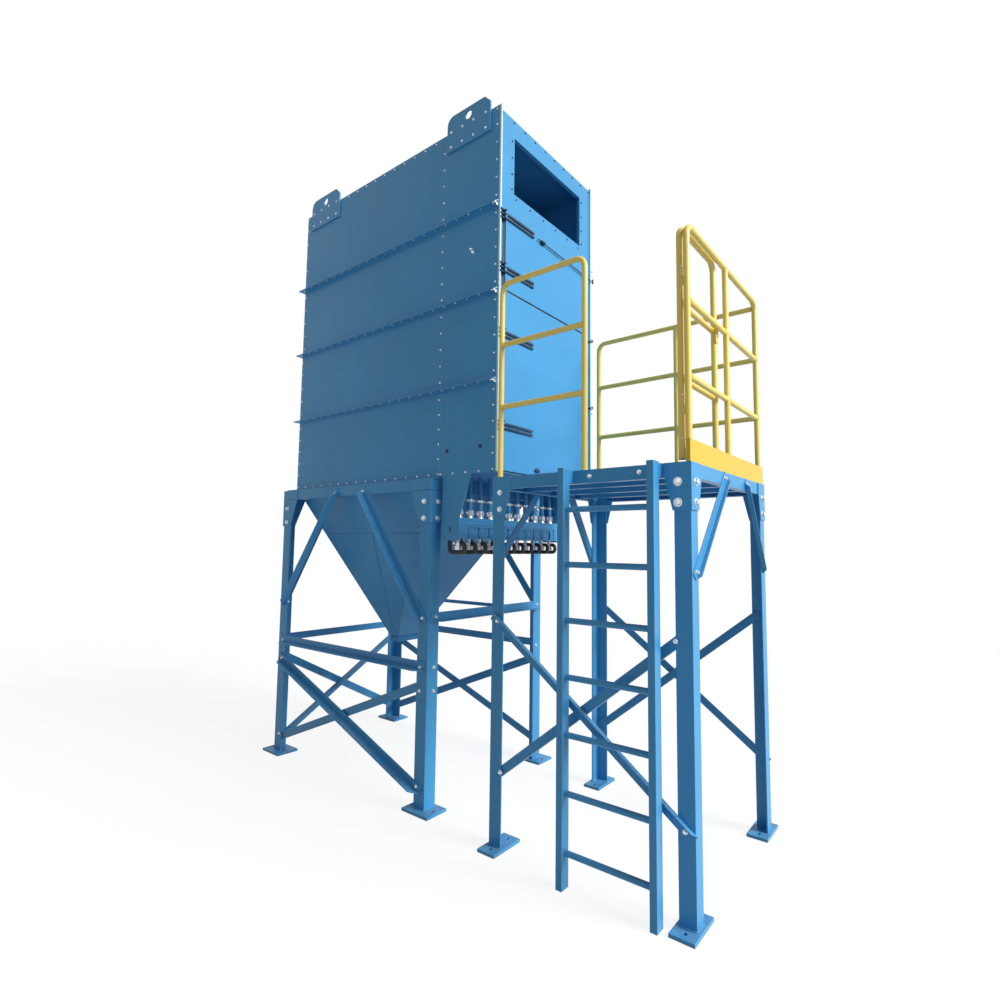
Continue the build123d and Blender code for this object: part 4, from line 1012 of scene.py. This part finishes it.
@dataclass
class AccessDoors:
    """The two pan doors with the painted shade in the gaps round them, their latches and rod."""

    finishes: Finishes
    wall_x: float = 2364.0
    face_x: float = 2374.0
    y: Range = (119.0, 1170.0)
    lower_z: Range = (2245.0, 3445.0)
    upper_z: Range = (3458.0, 3985.0)
    gap_shade_inside: float = 20.0
    gap_shade_outside: Range = (22.0, 4.0)
    latch_y: float = 1198.0
    latch_levels: tuple[float, ...] = (3410.0, 2862.0, 2330.0)
    lower_straps: Range = (2535.0, 3150.0)
    upper_straps: Range = (3595.0, 3965.0)
    strap_half_pitch: float = 14.0
    strap_half_height: float = 8.2
    strap_y: Range = (119.0, 431.0)
    rod_x: float = 2386.0
    pull_place: Range = (492.0, 2272.0)

    def lay_gap_shade(self) -> None:
        """Lays dark strips on the wall round both doors: painted shade in the gaps between the doors and
        the wall.
        """
        x, inside = (self.wall_x + 0.3, self.wall_x + 4.6), self.gap_shade_inside
        left = (self.y[0] - self.gap_shade_outside[0], self.y[0] + inside)
        right = (self.y[1] - inside, self.y[1] + self.gap_shade_outside[1])
        inner = (left[1] + GAP, right[0] - GAP)
        z = (self.lower_z[0] - 5, self.upper_z[1] + 5)
        limits = (
            (left, z), (right, z), (inner, (z[0], self.lower_z[0] + inside)),
            (inner, (self.lower_z[1] - inside, self.upper_z[0] + inside)),
            (inner, (self.upper_z[1] - inside, z[1])),
        )
        finish(join([slab(x, *limit) for limit in limits], "door_gap_shade_strips"), self.finishes.gap_shade)

    def eye_latch(self, z: float) -> Piece:
        """Models one latch: a tongue past the door's edge with an eye nut on it.

        Args:
            z: its height.

        Returns:
            The latch.
        """
        face, y = self.face_x, self.latch_y
        tongue = slab((face + 0.3, face + 5), (self.y[1] - 30, y + 9), (z - 9, z + 9), 2.0)
        stud = lying(5, 16, 16)
        round_top(stud, 1.5)
        stud.data.transform(turned(((face + 5, y, z), Facing.RIGHT)))
        eye = ring(10.0, 3.8, 24, 8)
        eye.data.transform(turned(((face + 29, y, z), Facing.FRONT)))
        return join([tongue, stud, eye], "latch")

    def latches(self) -> None:
        """Puts the latches on the free edge of the lower door."""
        lower = [self.eye_latch(z) for z in self.latch_levels]
        finish(join(lower, "lower_door_latches"), self.finishes.dark_metal_and_shade, DOOR_LEAF)

    def latch_rod(self) -> None:
        """Runs the thin rod with its round knob along the top of the upper door."""
        x = self.rod_x
        parts = [
            between((x, 470, 3957), (x, 1246, 3924), 4.0, 12),
            between((x, 512, 3955), (x, 552, 3953.5), 13.0, 24),
            slab((self.face_x + GAP, x + 7), (1120, 1136), (3918, 3942), 2.0),
            slab((x - 5, x + 5), (1238, 1248), (3912, 3950), 2.0),
        ]
        finish(join(parts, "door_latch_rod"), self.finishes.dark_metal_and_shade)

    def pull(self) -> None:
        """Puts the half-round pull at the foot of the lower door."""
        grip = lying(27, 14, 32)
        with editing(grip, "VERT"):
            bpy.ops.mesh.select_all(action="SELECT")
            bpy.ops.mesh.bisect(plane_co=(0, 0, 0), plane_no=(0, 1, 0), clear_inner=True, use_fill=True)
        round_top(grip, 3.0, 3)
        grip.data.transform(turned(((self.face_x, *self.pull_place), Facing.RIGHT)))
        finish(grip, self.finishes.dark_paint_and_shade, DOOR_LEAF)
        grip.name = "lower_door_pull"

    def strap_shade_plates(self, name: str, levels: Range, body: str) -> None:
        """Covers the paired hinge straps of one door with dark plates: painted shade, as the straps show
        their shaded undersides.

        Args:
            name: the piece's name.
            levels: the height of each pair.
            body: the body that the door rides on.
        """
        x, half = (self.face_x + GAP, self.face_x + 11), self.strap_half_height
        middles = [level + side * self.strap_half_pitch for level in levels for side in (-1, 1)]
        strap_shade_slabs = [slab(x, self.strap_y, (middle - half, middle + half), 1.5) for middle in middles]
        finish(join(strap_shade_slabs, name), self.finishes.dark_paint_and_shade, body)

    def build(self) -> None:
        """Dresses both doors."""
        self.lay_gap_shade()
        self.latches()
        self.latch_rod()
        self.pull()
        self.strap_shade_plates("lower_door_strap_shade", self.lower_straps, DOOR_LEAF)
        self.strap_shade_plates("upper_door_strap_shade", self.upper_straps, FIXED)


@dataclass
class PulseHeader:
    """The compressed air header with its unions, clamps and hoses."""

    finishes: Finishes
    axis_x: float = 2005.0
    top_z: float = 1944.0
    bottom_z: float = 1801.0
    clamp_z: float = 2060.0
    recess_x: float = 2043.0
    recess_z: float = 1846.0
    rows: tuple[float, ...] = tuple(104.5 + 108.0 * row for row in range(11))
    clamp_middle: float = 8.5
    clamp_lug_side: float = 30.0
    clamp_lug_size: Point = (12.0, 20.0, 15.0)
    clamp_bolt_out: float = 6.0
    clamp_bolt_side: float = 33.0
    plenum_floor: float = 2233.0
    bracket_bolts_x: tuple[float, ...] = (1925.0, 2000.0, 2080.0, 2140.0)
    bracket_bolts_y: Range = (76.0, 1213.0)

    def ears(self, size: tuple[float, float], out: float, z: float) -> list[Piece]:
        """Models the two studs at the sides of a nut.

        Args:
            size: a stud's radius and length.
            out: how far from the nut's middle it starts.
            z: its height.

        Returns:
            The studs.
        """
        made = []
        for side in (-1, 1):
            ear = lying(*size, 12)
            round_top(ear, 2.5, 2)
            turn = Matrix.Rotation(-side * math.pi / 2, 4, "X")
            ear.data.transform(Matrix.Translation((0, side * out * MM, z * MM)) @ turn)
            made.append(ear)
        return made

    def union(self) -> Piece:
        """Models one upper union: a cone and a nut with two ears.

        Returns:
            The union, upright on the origin.
        """
        cone = lying(30, 22, 24)
        with editing(cone):
            pick(cone, "faces", lambda face: face.normal.z > LEVEL)
            bpy.ops.transform.resize(value=(0.72, 0.72, 1))
        nut = lying(28, 37, 6, 19.5)
        with editing(nut):
            pick(nut, "faces", lambda face: abs(face.normal.z) > LEVEL)
            bpy.ops.mesh.inset(thickness=0.003)
        round_top(nut, 2.0, 2)
        return join([cone, nut, *self.ears((7.5, 16), 24, 38)], "union")

    def sleeve(self) -> Piece:
        """Models the painted sleeve between a union and its clamp, upright on the origin.

        Returns:
            The sleeve.
        """
        sleeve = lying(19.8, 58, 24, 57)
        with editing(sleeve, "EDGE"):
            pick(sleeve, "edges", lambda edge: abs(edge.verts[0].co.z - edge.verts[1].co.z) < 1e-5)
            bpy.ops.mesh.bevel(offset=0.003, segments=2, affect="EDGES")
        return sleeve

    def clamp(self) -> Piece:
        """Models one two-bolt clamp band, upright on the origin.

        Returns:
            The clamp.
        """
        band = lying(23, 17, 24)
        round_top(band, 1.5)
        parts, height = [band], self.clamp_middle * MM
        for side in (-1, 1):
            middle = Vector((0, side * self.clamp_lug_side * MM, height))
            lug = softened(middle, Vector([length * MM for length in self.clamp_lug_size]), 2.0)
            bolt = CLAMP_BOLT.template()
            seat = (self.clamp_bolt_out * MM, side * self.clamp_bolt_side * MM, height)
            bolt.data.transform(Matrix.Translation(seat) @ Matrix.Rotation(math.pi / 2, 4, "Y"))
            parts += [lug, bolt]
        return join(parts, "clamp")

    def lower_union(self) -> Piece:
        """Models one lower nut with ears, hanging from the origin.

        Returns:
            The nut.
        """
        nut = lying(26, 25, 6, -42.5)
        round_top(nut, 2.5, 2)
        studs = self.ears((8, 24), 22, -30)
        collar = lying(27, 27, 24, -73.5)
        round_top(collar, 3.0, 2)
        return join([nut, *studs, collar], "lower_union")

    def along(self, template: Piece, z: float, name: str, material: Material) -> None:
        """Puts a shape at every row.

        Args:
            template: the shape, upright on the origin.
            z: its height.
            name: the name of the piece.
            material: its finish.
        """
        places = [Matrix.Translation(place(self.axis_x, y, z)) for y in self.rows]
        finish(copies(template, places, name), material)

    def valves(self) -> None:
        """Rims the valve discs in the header's recess."""
        spots = [((self.recess_x, y, self.recess_z), Facing.RIGHT) for y in self.rows[1:-1]]
        rims = copies(ring(26.0, 3.0, 28, 6), [turned(spot) for spot in spots], "valve_disc_rims")
        finish(rims, self.finishes.blue)

    def brackets(self) -> None:
        """Bolts the header's hangers to the plenum floor and dresses their slots."""
        floor = self.plenum_floor
        spots = [((x, y, floor), Facing.DOWN) for y in self.bracket_bolts_y for x in self.bracket_bolts_x]
        FRAME_BOLT.fit("header_bracket_bolts", spots, self.finishes.zinc)
        x, z = (1895, 2159), (floor - 11, floor - GAP)
        folds = [slab(x, y, z, 2.0) for y in ((62.2, 92), (1197, 1226.8))]
        finish(join(folds, "header_bracket_flanges"), self.finishes.blue)

    def build(self) -> None:
        """Dresses the header."""
        zinc, blue = self.finishes.zinc, self.finishes.blue
        self.along(self.union(), self.top_z, "pulse_unions", zinc)
        self.along(self.sleeve(), self.top_z, "pulse_pipe_sleeves", blue)
        self.along(self.clamp(), self.clamp_z, "pulse_pipe_clamps", zinc)
        self.along(self.lower_union(), self.bottom_z, "hose_unions", zinc)
        self.valves()
        self.brackets()


@dataclass
class Stand:
    """The braced stand and the hopper in it."""

    finishes: Finishes
    length: float = 1840.0
    depth: float = 1303.0
    height: float = 2216.0
    gusset: float = 8.0
    gusset_reach: float = 186.0
    gusset_seam: Range = (81.0, 78.0)
    bolt_in: float = 58.0
    bolt_drops: Range = (158.0, 274.0)
    brace_out: float = 6.0
    brace_bolts_xz: tuple[Range, ...] = (
        (739, 2160), (1095, 2160), (62, 1262), (1785, 1262),
        (72, 935), (1778, 935), (70, 782), (1768, 158),
    )
    leg_bolts_xz: tuple[Range, ...] = ((128, 1265), (1774, 779), (70, 158))
    end_bolts: tuple[tuple[float, float, float, Facing], ...] = (
        (0, 62, 934, Facing.RIGHT), (0, 62, 777, Facing.RIGHT), (6, 64, 1270, Facing.RIGHT),
        (6, 58, 945, Facing.LEFT), (6, 58, 1262, Facing.LEFT),
    )
    left_bolts_yz: tuple[Range, ...] = ((482, 2160), (821, 2160), (70, 780), (1233, 160))
    hopper_foot: float = 984.0
    hopper_x: tuple[Range, Range] = ((139.0, 824.0), (1782.0, 917.0))
    hopper_y: tuple[Range, Range] = ((47.0, 544.0), (1256.0, 759.0))
    seam_z: float = 1843.0
    rib_foot: float = 1000.0
    rib_x: Range = (967.0, 866.0)
    seam_bead: float = 3.5
    rib_bead: float = 4.5

    def corner_bolts(self) -> None:
        """Puts the bolts of the corner gussets."""
        out, inwards = self.gusset, self.bolt_in
        spots: list[Spot] = []
        for drop in self.bolt_drops:
            z = self.height - drop
            for x in (inwards, self.length - inwards):
                spots += [((x, -out, z), Facing.FRONT), ((x, self.depth + out, z), Facing.BACK)]
            for y in (inwards, self.depth - inwards):
                spots += [((-out, y, z), Facing.LEFT), ((self.length + out, y, z), Facing.RIGHT)]
        STAND_CORNER_BOLT.fit("stand_corner_bolts", spots, self.finishes.zinc)

    def brace_bolts(self) -> None:
        """Puts the bolts at the ends of the braces on all four sides."""
        out = self.brace_out
        spots: list[Spot] = []
        for y, facing, sign in ((0, Facing.FRONT, -1), (self.depth, Facing.BACK, 1)):
            spots += [((x, y + sign * out, z), facing) for x, z in self.brace_bolts_xz]
            spots += [((x, y, z), facing) for x, z in self.leg_bolts_xz]
        for near in (True, False):
            for proud, inwards, z, facing in self.end_bolts:
                x = self.length + proud if facing is Facing.RIGHT else -proud
                spots.append(((x, inwards if near else self.depth - inwards, z), facing))
        spots += [((-out, y, z), Facing.LEFT) for y, z in self.left_bolts_yz]
        FRAME_BOLT.fit("stand_brace_bolts", spots, self.finishes.zinc)

    def sloping(self, z: float, edge: Range) -> float:
        """Where a sloping edge of the hopper is at a height, from its top and its foot."""
        return edge[0] + (self.height - z) * (edge[1] - edge[0]) / (self.height - self.hopper_foot)

    def hopper_seams(self) -> None:
        """Welds laps across the hopper plates, ribs down the front and back, and the corners."""
        seams, z = [], self.seam_z
        left, right = (self.sloping(z, edge) for edge in self.hopper_x)
        level, foot = (self.sloping(height, self.hopper_y[0]) for height in (z, self.rib_foot))
        for side in (-1, 1):
            y = (level if side < 0 else self.depth - level) + side
            foot_y = (foot if side < 0 else self.depth - foot) + side
            seams.append(between((left + 6, y, z), (right - 6, y, z), self.seam_bead, SEAM_SIDES))
            rib = (self.rib_x[0], y, z), (self.rib_x[1], foot_y, self.rib_foot)
            seams.append(between(*rib, self.rib_bead, SEAM_SIDES))
        for x in (left - 1, right + 1):
            ends = (x, level + 6, z), (x, self.depth - level - 6, z)
            seams.append(between(*ends, self.seam_bead, SEAM_SIDES))
        finish(join(seams, "hopper_weld_seams"), self.finishes.blue)
        top, bottom = self.height - 4, self.hopper_foot + 4
        corners = [
            between((x_top, y_top, top), (x_foot, y_foot, bottom), 4.0, SEAM_SIDES)
            for x_top, x_foot in self.hopper_x for y_top, y_foot in self.hopper_y
        ]
        finish(join(corners, "hopper_corner_welds"), self.finishes.blue)

    def gusset_seam_shade(self) -> None:
        """Marks the joint between the head and the sleeve of each corner gusset with a thin dark strip:
        painted shade in the groove there.
        """
        inner, outer, reach = self.gusset + 0.05, self.gusset + 1.2, self.gusset_reach
        z = (self.height - self.gusset_seam[0], self.height - self.gusset_seam[1])
        strips = []
        for x in ((-outer, reach), (self.length - reach, self.length + outer)):
            strips.append(slab(x, (-outer, -inner), z, 0.4))
            strips.append(slab(x, (self.depth + inner, self.depth + outer), z, 0.4))
        for y in ((-outer, reach), (self.depth - reach, self.depth + outer)):
            strips.append(slab((-outer, -inner), y, z, 0.4))
            strips.append(slab((self.length + inner, self.length + outer), y, z, 0.4))
        finish(join(strips, "gusset_seam_shade"), self.finishes.dark_paint_and_shade)

    def build(self) -> None:
        """Dresses the stand and the hopper."""
        self.corner_bolts()
        self.brace_bolts()
        self.hopper_seams()
        self.gusset_seam_shade()
        welds = foot_beads("stand_foot_welds", (0, self.length), (0, self.depth), 98, 4.0)
        finish(welds, self.finishes.blue)


@dataclass
class AccessPlatform:
    """The access platform with its ladder, railings and gate."""

    finishes: Finishes
    x: Range = (2440.0, 3680.0)
    y: Range = (-46.0, 1220.0)
    top: float = 2177.0
    gusset: float = 6.0
    bolt_in: float = 52.0
    right_bolt_in: float = 64.0
    bolt_drops: Range = (97.0, 199.0)
    brace_out: float = 5.0
    beam_bolts_xz: tuple[Range, ...] = ((3117, 2140), (3410, 2142), (2937, 2122))
    cross_bolts_xz: tuple[Range, ...] = ((48, 1310), (1192, 446), (84, 446), (1156, 1310))
    knee_bolts: tuple[Range, ...] = ((50.0, 50.0), (492.0, 366.0))
    knee_levels: Range = (1640.0, 2140.0)
    rail_y: float = -22.0
    back_rail_y: float = 1196.0
    left_x: float = 2470.0
    corner_x: float = 3657.0
    front_rail: float = 602.0
    back_post: float = 637.0
    side_posts: Range = (0.0, 600.0)
    tube: float = 16.9
    rail_levels: Range = (440.0, 835.0)
    stringers: tuple[Range, Range] = ((2976.0, 3013.0), (3496.0, 3533.0))
    stringer_y: Range = (-147.8, -81.2)
    ladder_y: float = -114.5
    first_rung: float = 181.0
    rung_pitch: float = 296.0
    rung_count: int = 7
    gate_x: float = 3615.0
    gate_tubes_y: Range = (14.0, 514.0)
    gate_stop: Point = (3634.0, 514.0, 2978.0)
    hinge_place: Range = (3631.7, -6.0)
    hinge_levels: tuple[float, ...] = (73.0, 292.0, 959.0)
    plank_count: int = 5
    plank_gap: float = 10.0
    plank_y: Range = (40.0, 1134.0)
    rib_shares: tuple[float, ...] = (0.2, 0.4, 0.6, 0.8)

    def corner_bolts(self) -> None:
        """Puts the large bolts of the corner gussets, smaller ones on the housing side."""
        (left, right), (front, back), out = self.x, self.y, self.gusset
        large: list[Spot] = []
        small: list[Spot] = []
        for drop in self.bolt_drops:
            z = self.top - drop
            for x, spots in ((left + self.bolt_in, small), (right - self.right_bolt_in, large)):
                spots += [((x, front - out, z), Facing.FRONT), ((x, back + out, z), Facing.BACK)]
            for y in (front + self.bolt_in, back - self.bolt_in):
                small.append(((left - out, y, z), Facing.LEFT))
                large.append(((right + out, y, z), Facing.RIGHT))
        CORNER_BOLT.fit("platform_corner_bolts", large, self.finishes.zinc)
        NEAR_CORNER_BOLT.fit("platform_near_corner_bolts", small, self.finishes.zinc)

    def beam_bolts(self) -> None:
        """Puts the bolts of the beams and of the braces' ends."""
        (left, right), (front, back), out = self.x, self.y, self.brace_out
        spots: list[Spot] = [((x, front, z), Facing.FRONT) for x, z in self.beam_bolts_xz]
        for x, z in self.cross_bolts_xz:
            spots += [((left + x, front - out, z), Facing.FRONT), ((left + x, back + out, z), Facing.BACK)]
        low, high = self.knee_bolts
        for face, facing in ((left - out, Facing.LEFT), (right + out, Facing.RIGHT)):
            for y, sign, side in ((front, 1, 0), (back, -1, 1)):
                for inwards, z in zip((low[side], high[side]), self.knee_levels):
                    spots.append(((face, y + sign * inwards, z), facing))
        PLATFORM_BRACE_BOLT.fit("platform_brace_bolts", spots, self.finishes.zinc)

    def ladder_welds(self) -> None:
        """Welds each rung into the stringers and caps them."""
        spots = [
            ((x, self.ladder_y, self.first_rung + self.rung_pitch * rung), Facing.RIGHT)
            for x in (self.stringers[0][1] + 1, self.stringers[1][0] - 1)
            for rung in range(self.rung_count)
        ]
        finish(weld_rings("ladder_rung_welds", spots, 3.2), self.finishes.blue)
        head = (self.top + 3, self.top + 6)
        caps = [slab((x[0] - 0.8, x[1] + 0.8), self.stringer_y, head, 1.2) for x in self.stringers]
        finish(join(caps, "ladder_stringer_caps"), self.finishes.blue)

    def rail_welds(self) -> None:
        """Welds the rails to each other and the posts to the platform's beams."""
        ends = (self.left_x, self.left_x + self.front_rail)
        back_posts = (self.left_x, self.left_x + self.back_post)
        side_posts = (*self.side_posts, self.back_rail_y)
        runs: list[Spot] = []
        for level in self.rail_levels:
            z = self.top + level
            for x, step in zip(ends, (1, -1)):
                runs.append(((x + step * self.tube, self.rail_y, z), Facing.RIGHT))
            runs += [((x + self.tube, self.back_rail_y, z), Facing.RIGHT) for x in back_posts]
            for y in side_posts:
                step = -self.tube if y == self.back_rail_y else self.tube
                runs.append(((self.corner_x, y + step, z), Facing.BACK))
        posts = [(x, self.rail_y) for x in ends] + [(x, self.back_rail_y) for x in back_posts]
        posts += [(self.corner_x, y) for y in side_posts]
        runs += [((x, y, self.top + 2.5), Facing.UP) for x, y in posts]
        finish(weld_rings("rail_welds", runs, 2.8), self.finishes.lightened_rail_yellow)

    def capped(self, points: Iterable[Point], radius: float, sides: int) -> list[Piece]:
        """Models low round caps.

        Args:
            points: the middle of each cap's foot.
            radius: the radius of a cap.
            sides: how many sides it has.

        Returns:
            The caps.
        """
        made = []
        for point in points:
            cap = lying(radius, 5, sides)
            round_top(cap, 1.5, 2)
            cap.data.transform(Matrix.Translation(place(*point)))
            made.append(cap)
        return made

    def gate_dressing(self) -> None:
        """Caps the gate's tubes and hinge pins and bolts its stop."""
        feet = [(self.gate_x, y, self.top + 19.5) for y in self.gate_tubes_y]
        caps = join(self.capped(feet, 17.4, 24), "gate_tube_caps")
        finish(caps, self.finishes.lightened_rail_yellow, GATE_LEAF)
        heads = [(*self.hinge_place, self.top + level + 48.2) for level in self.hinge_levels]
        finish(join(self.capped(heads, 7.0, 16), "gate_pin_heads"), self.finishes.zinc)
        stop = [(self.gate_stop, Facing.RIGHT)]
        FRAME_BOLT.fit("gate_stop_bolt", stop, self.finishes.zinc, GATE_LEAF)

    def plank_ribs(self) -> None:
        """Presses ribs into the tops of the deck planks."""
        low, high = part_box("deck_planks")
        left, width, deck = (low.x - ORIGIN.x) / MM, (high.x - low.x) / MM, high.z / MM
        pitch = (width + self.plank_gap) / self.plank_count
        ribs = []
        for plank in range(self.plank_count):
            for share in self.rib_shares:
                x = left + pitch * plank + (pitch - self.plank_gap) * share
                ribs.append(slab((x - 9, x + 9), self.plank_y, (deck - 0.5, deck + 2.5), 1.2))
        finish(join(ribs, "deck_plank_ribs"), self.finishes.blue)

    def build(self) -> None:
        """Dresses the platform, ladder, railings and gate."""
        self.corner_bolts()
        self.beam_bolts()
        self.ladder_welds()
        self.rail_welds()
        self.gate_dressing()
        self.plank_ribs()
        finish(foot_beads("platform_foot_welds", self.x, self.y, 83, 3.5), self.finishes.blue)


@dataclass
class CadNodes:
    """The finishes of the nodes that come with the frame."""

    finishes: Finishes

    def build(self) -> None:
        """Gives every node its material."""
        f = self.finishes
        # The rails and gate take the paler yellow: painted light for their highlights.
        special = {name: f.lightened_rail_yellow for name in ("rail_front", "rail_side", "rail_back", "gate")}
        special |= {
            # The corner flanges take the near-white paint, a painted highlight on their edges.
            "corner_flanges": f.corner_highlight, "toe_board": f.yellow, "header_hoses": f.rubber,
            # The door hinges take the dark blue: painted shade, as their undersides are in shade.
            "header_fittings": f.zinc, "door_hinges": f.dark_paint_and_shade,
        }
        for name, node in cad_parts.items():
            node.data.materials.clear()
            node.data.materials.append(special.get(name, f.blue))


# The studio

@dataclass(frozen=True)
class Studio:
    """A plain pale floor under soft light that comes mostly from the right."""

    sun_strength: float = 4.0
    sun_softness: float = 32.0
    sun_elevation: float = 33.0
    sun_azimuth: float = 9.0
    fill: float = 0.22
    fill_colour: Colour = (0.93, 0.97, 1.0, 1.0)
    floor_size: float = 60.0
    floor_lit: Colour = (0.5, 0.5, 0.5, 1.0)
    floor_seen: Colour = (0.92, 0.92, 0.92, 1.0)
    floor_glow: float = 1.04
    floor_glow_share: float = 0.84

    def world(self) -> None:
        """Lights from all round, and shows white behind the collector."""
        world = bpy.data.worlds.new("studio_surround")
        bpy.context.scene.world = world
        world.use_nodes = True
        wiring = Wiring(world.node_tree)
        world.node_tree.nodes.clear()
        path = wiring.node("LightPath")
        seen = path.outputs["Is Camera Ray"]
        for also in ("Is Glossy Ray", "Is Transmission Ray"):
            both = {0: seen, 1: path.outputs[also]}
            seen = wiring.node("Math", both, operation="MAXIMUM").outputs[0]
        lit = wiring.node("Background", {"Color": self.fill_colour, "Strength": self.fill})
        white = wiring.node("Background", {"Color": WHITE, "Strength": 1.0})
        mix = wiring.node("MixShader", {0: seen, 1: lit.outputs[0], 2: white.outputs[0]})
        wiring.node("OutputWorld", {0: mix.outputs[0]})

    def sun(self) -> None:
        """Adds the broad light from the right."""
        lamp = bpy.data.lights.new("window_light", "SUN")
        lamp.energy = self.sun_strength
        lamp.angle = math.radians(self.sun_softness)
        holder = bpy.data.objects.new("window_light", lamp)
        azimuth, elevation = math.radians(self.sun_azimuth), math.radians(self.sun_elevation)
        level = math.cos(elevation)
        towards = Vector(
            (math.cos(azimuth) * level, math.sin(azimuth) * level, math.sin(elevation))
        )
        holder.rotation_euler = towards.to_track_quat("Z", "Y").to_euler()
        bpy.context.scene.collection.objects.link(holder)

    def floor(self) -> None:
        """Lays the floor, which is white to the camera and keeps a faint shadow."""
        bpy.ops.mesh.primitive_plane_add(size=self.floor_size, location=(0, 0, 0))
        floor = bpy.context.active_object
        floor.name = "studio_floor"
        material, wiring, shader = start_material("studio_floor_white")
        shader.inputs["Roughness"].default_value = 0.9
        shader.inputs["Specular IOR Level"].default_value = 0.0
        rays = wiring.node("LightPath").outputs
        both = {0: rays["Is Camera Ray"], 1: rays["Is Glossy Ray"]}
        seen = wiring.node("Math", both, operation="MAXIMUM").outputs[0]
        links = material.node_tree.links
        links.new(wiring.mixed(seen, self.floor_lit, self.floor_seen), shader.inputs["Base Color"])
        glow = wiring.node("Emission", {"Color": WHITE, "Strength": self.floor_glow})
        share = wiring.remap(seen, 0.0, 1.0, (0.0, self.floor_glow_share))
        mix = wiring.node("MixShader", {0: share, 1: shader.outputs[0], 2: glow.outputs[0]})
        links.new(mix.outputs[0], material.node_tree.nodes["Material Output"].inputs["Surface"])
        floor.data.materials.append(material)

    def build(self) -> None:
        """Sets up floor, light and surround."""
        self.world()
        self.sun()
        self.floor()
        bpy.context.scene.view_settings.view_transform = "Standard"


@dataclass(frozen=True)
class PhotographCamera:
    """The camera at the photograph's viewpoint, with its angles in degrees."""

    eye: Point = (4715.8, -2752.2, 1755.6)
    yaw: float = 38.155
    pitch: float = 4.841
    roll: float = 0.667
    focal_pixels: float = 577.0
    frame_pixels: float = 1000.0
    centre: Range = (512.9, 497.4)
    sensor: float = 36.0
    reach: float = 200.0

    def build(self) -> None:
        """Sets the camera."""
        lens = bpy.data.cameras.new("photograph_camera")
        lens.sensor_fit = "HORIZONTAL"
        lens.sensor_width = self.sensor
        lens.lens = self.focal_pixels * self.sensor / self.frame_pixels
        half = self.frame_pixels / 2
        lens.shift_x = (half - self.centre[0]) / self.frame_pixels
        lens.shift_y = (self.centre[1] - half) / self.frame_pixels
        lens.clip_end = self.reach
        camera = bpy.data.objects.new("photograph_camera", lens)
        turns = ((self.yaw, "Z"), (90 + self.pitch, "X"), (self.roll, "Z"))
        yaw, pitch, roll = (Matrix.Rotation(math.radians(angle), 4, axis) for angle, axis in turns)
        camera.matrix_world = Matrix.Translation(place(*self.eye)) @ (yaw @ pitch @ roll)
        bpy.context.scene.collection.objects.link(camera)
        bpy.context.scene.camera = camera


def main() -> None:
    """Dresses the collector and sets up its studio."""
    logging.basicConfig(level=logging.INFO, format="%(message)s")
    for node in bpy.context.selected_objects:
        node.select_set(False)
    PhotographCamera().build()
    Studio().build()
    finishes = Finishes()
    CadNodes(finishes).build()
    for assembly in (Housing, AccessDoors, PulseHeader, Stand, AccessPlatform):
        LOG.info("dressing %s", assembly.__name__)
        assembly(finishes).build()


if __name__ == "__main__":
    main()
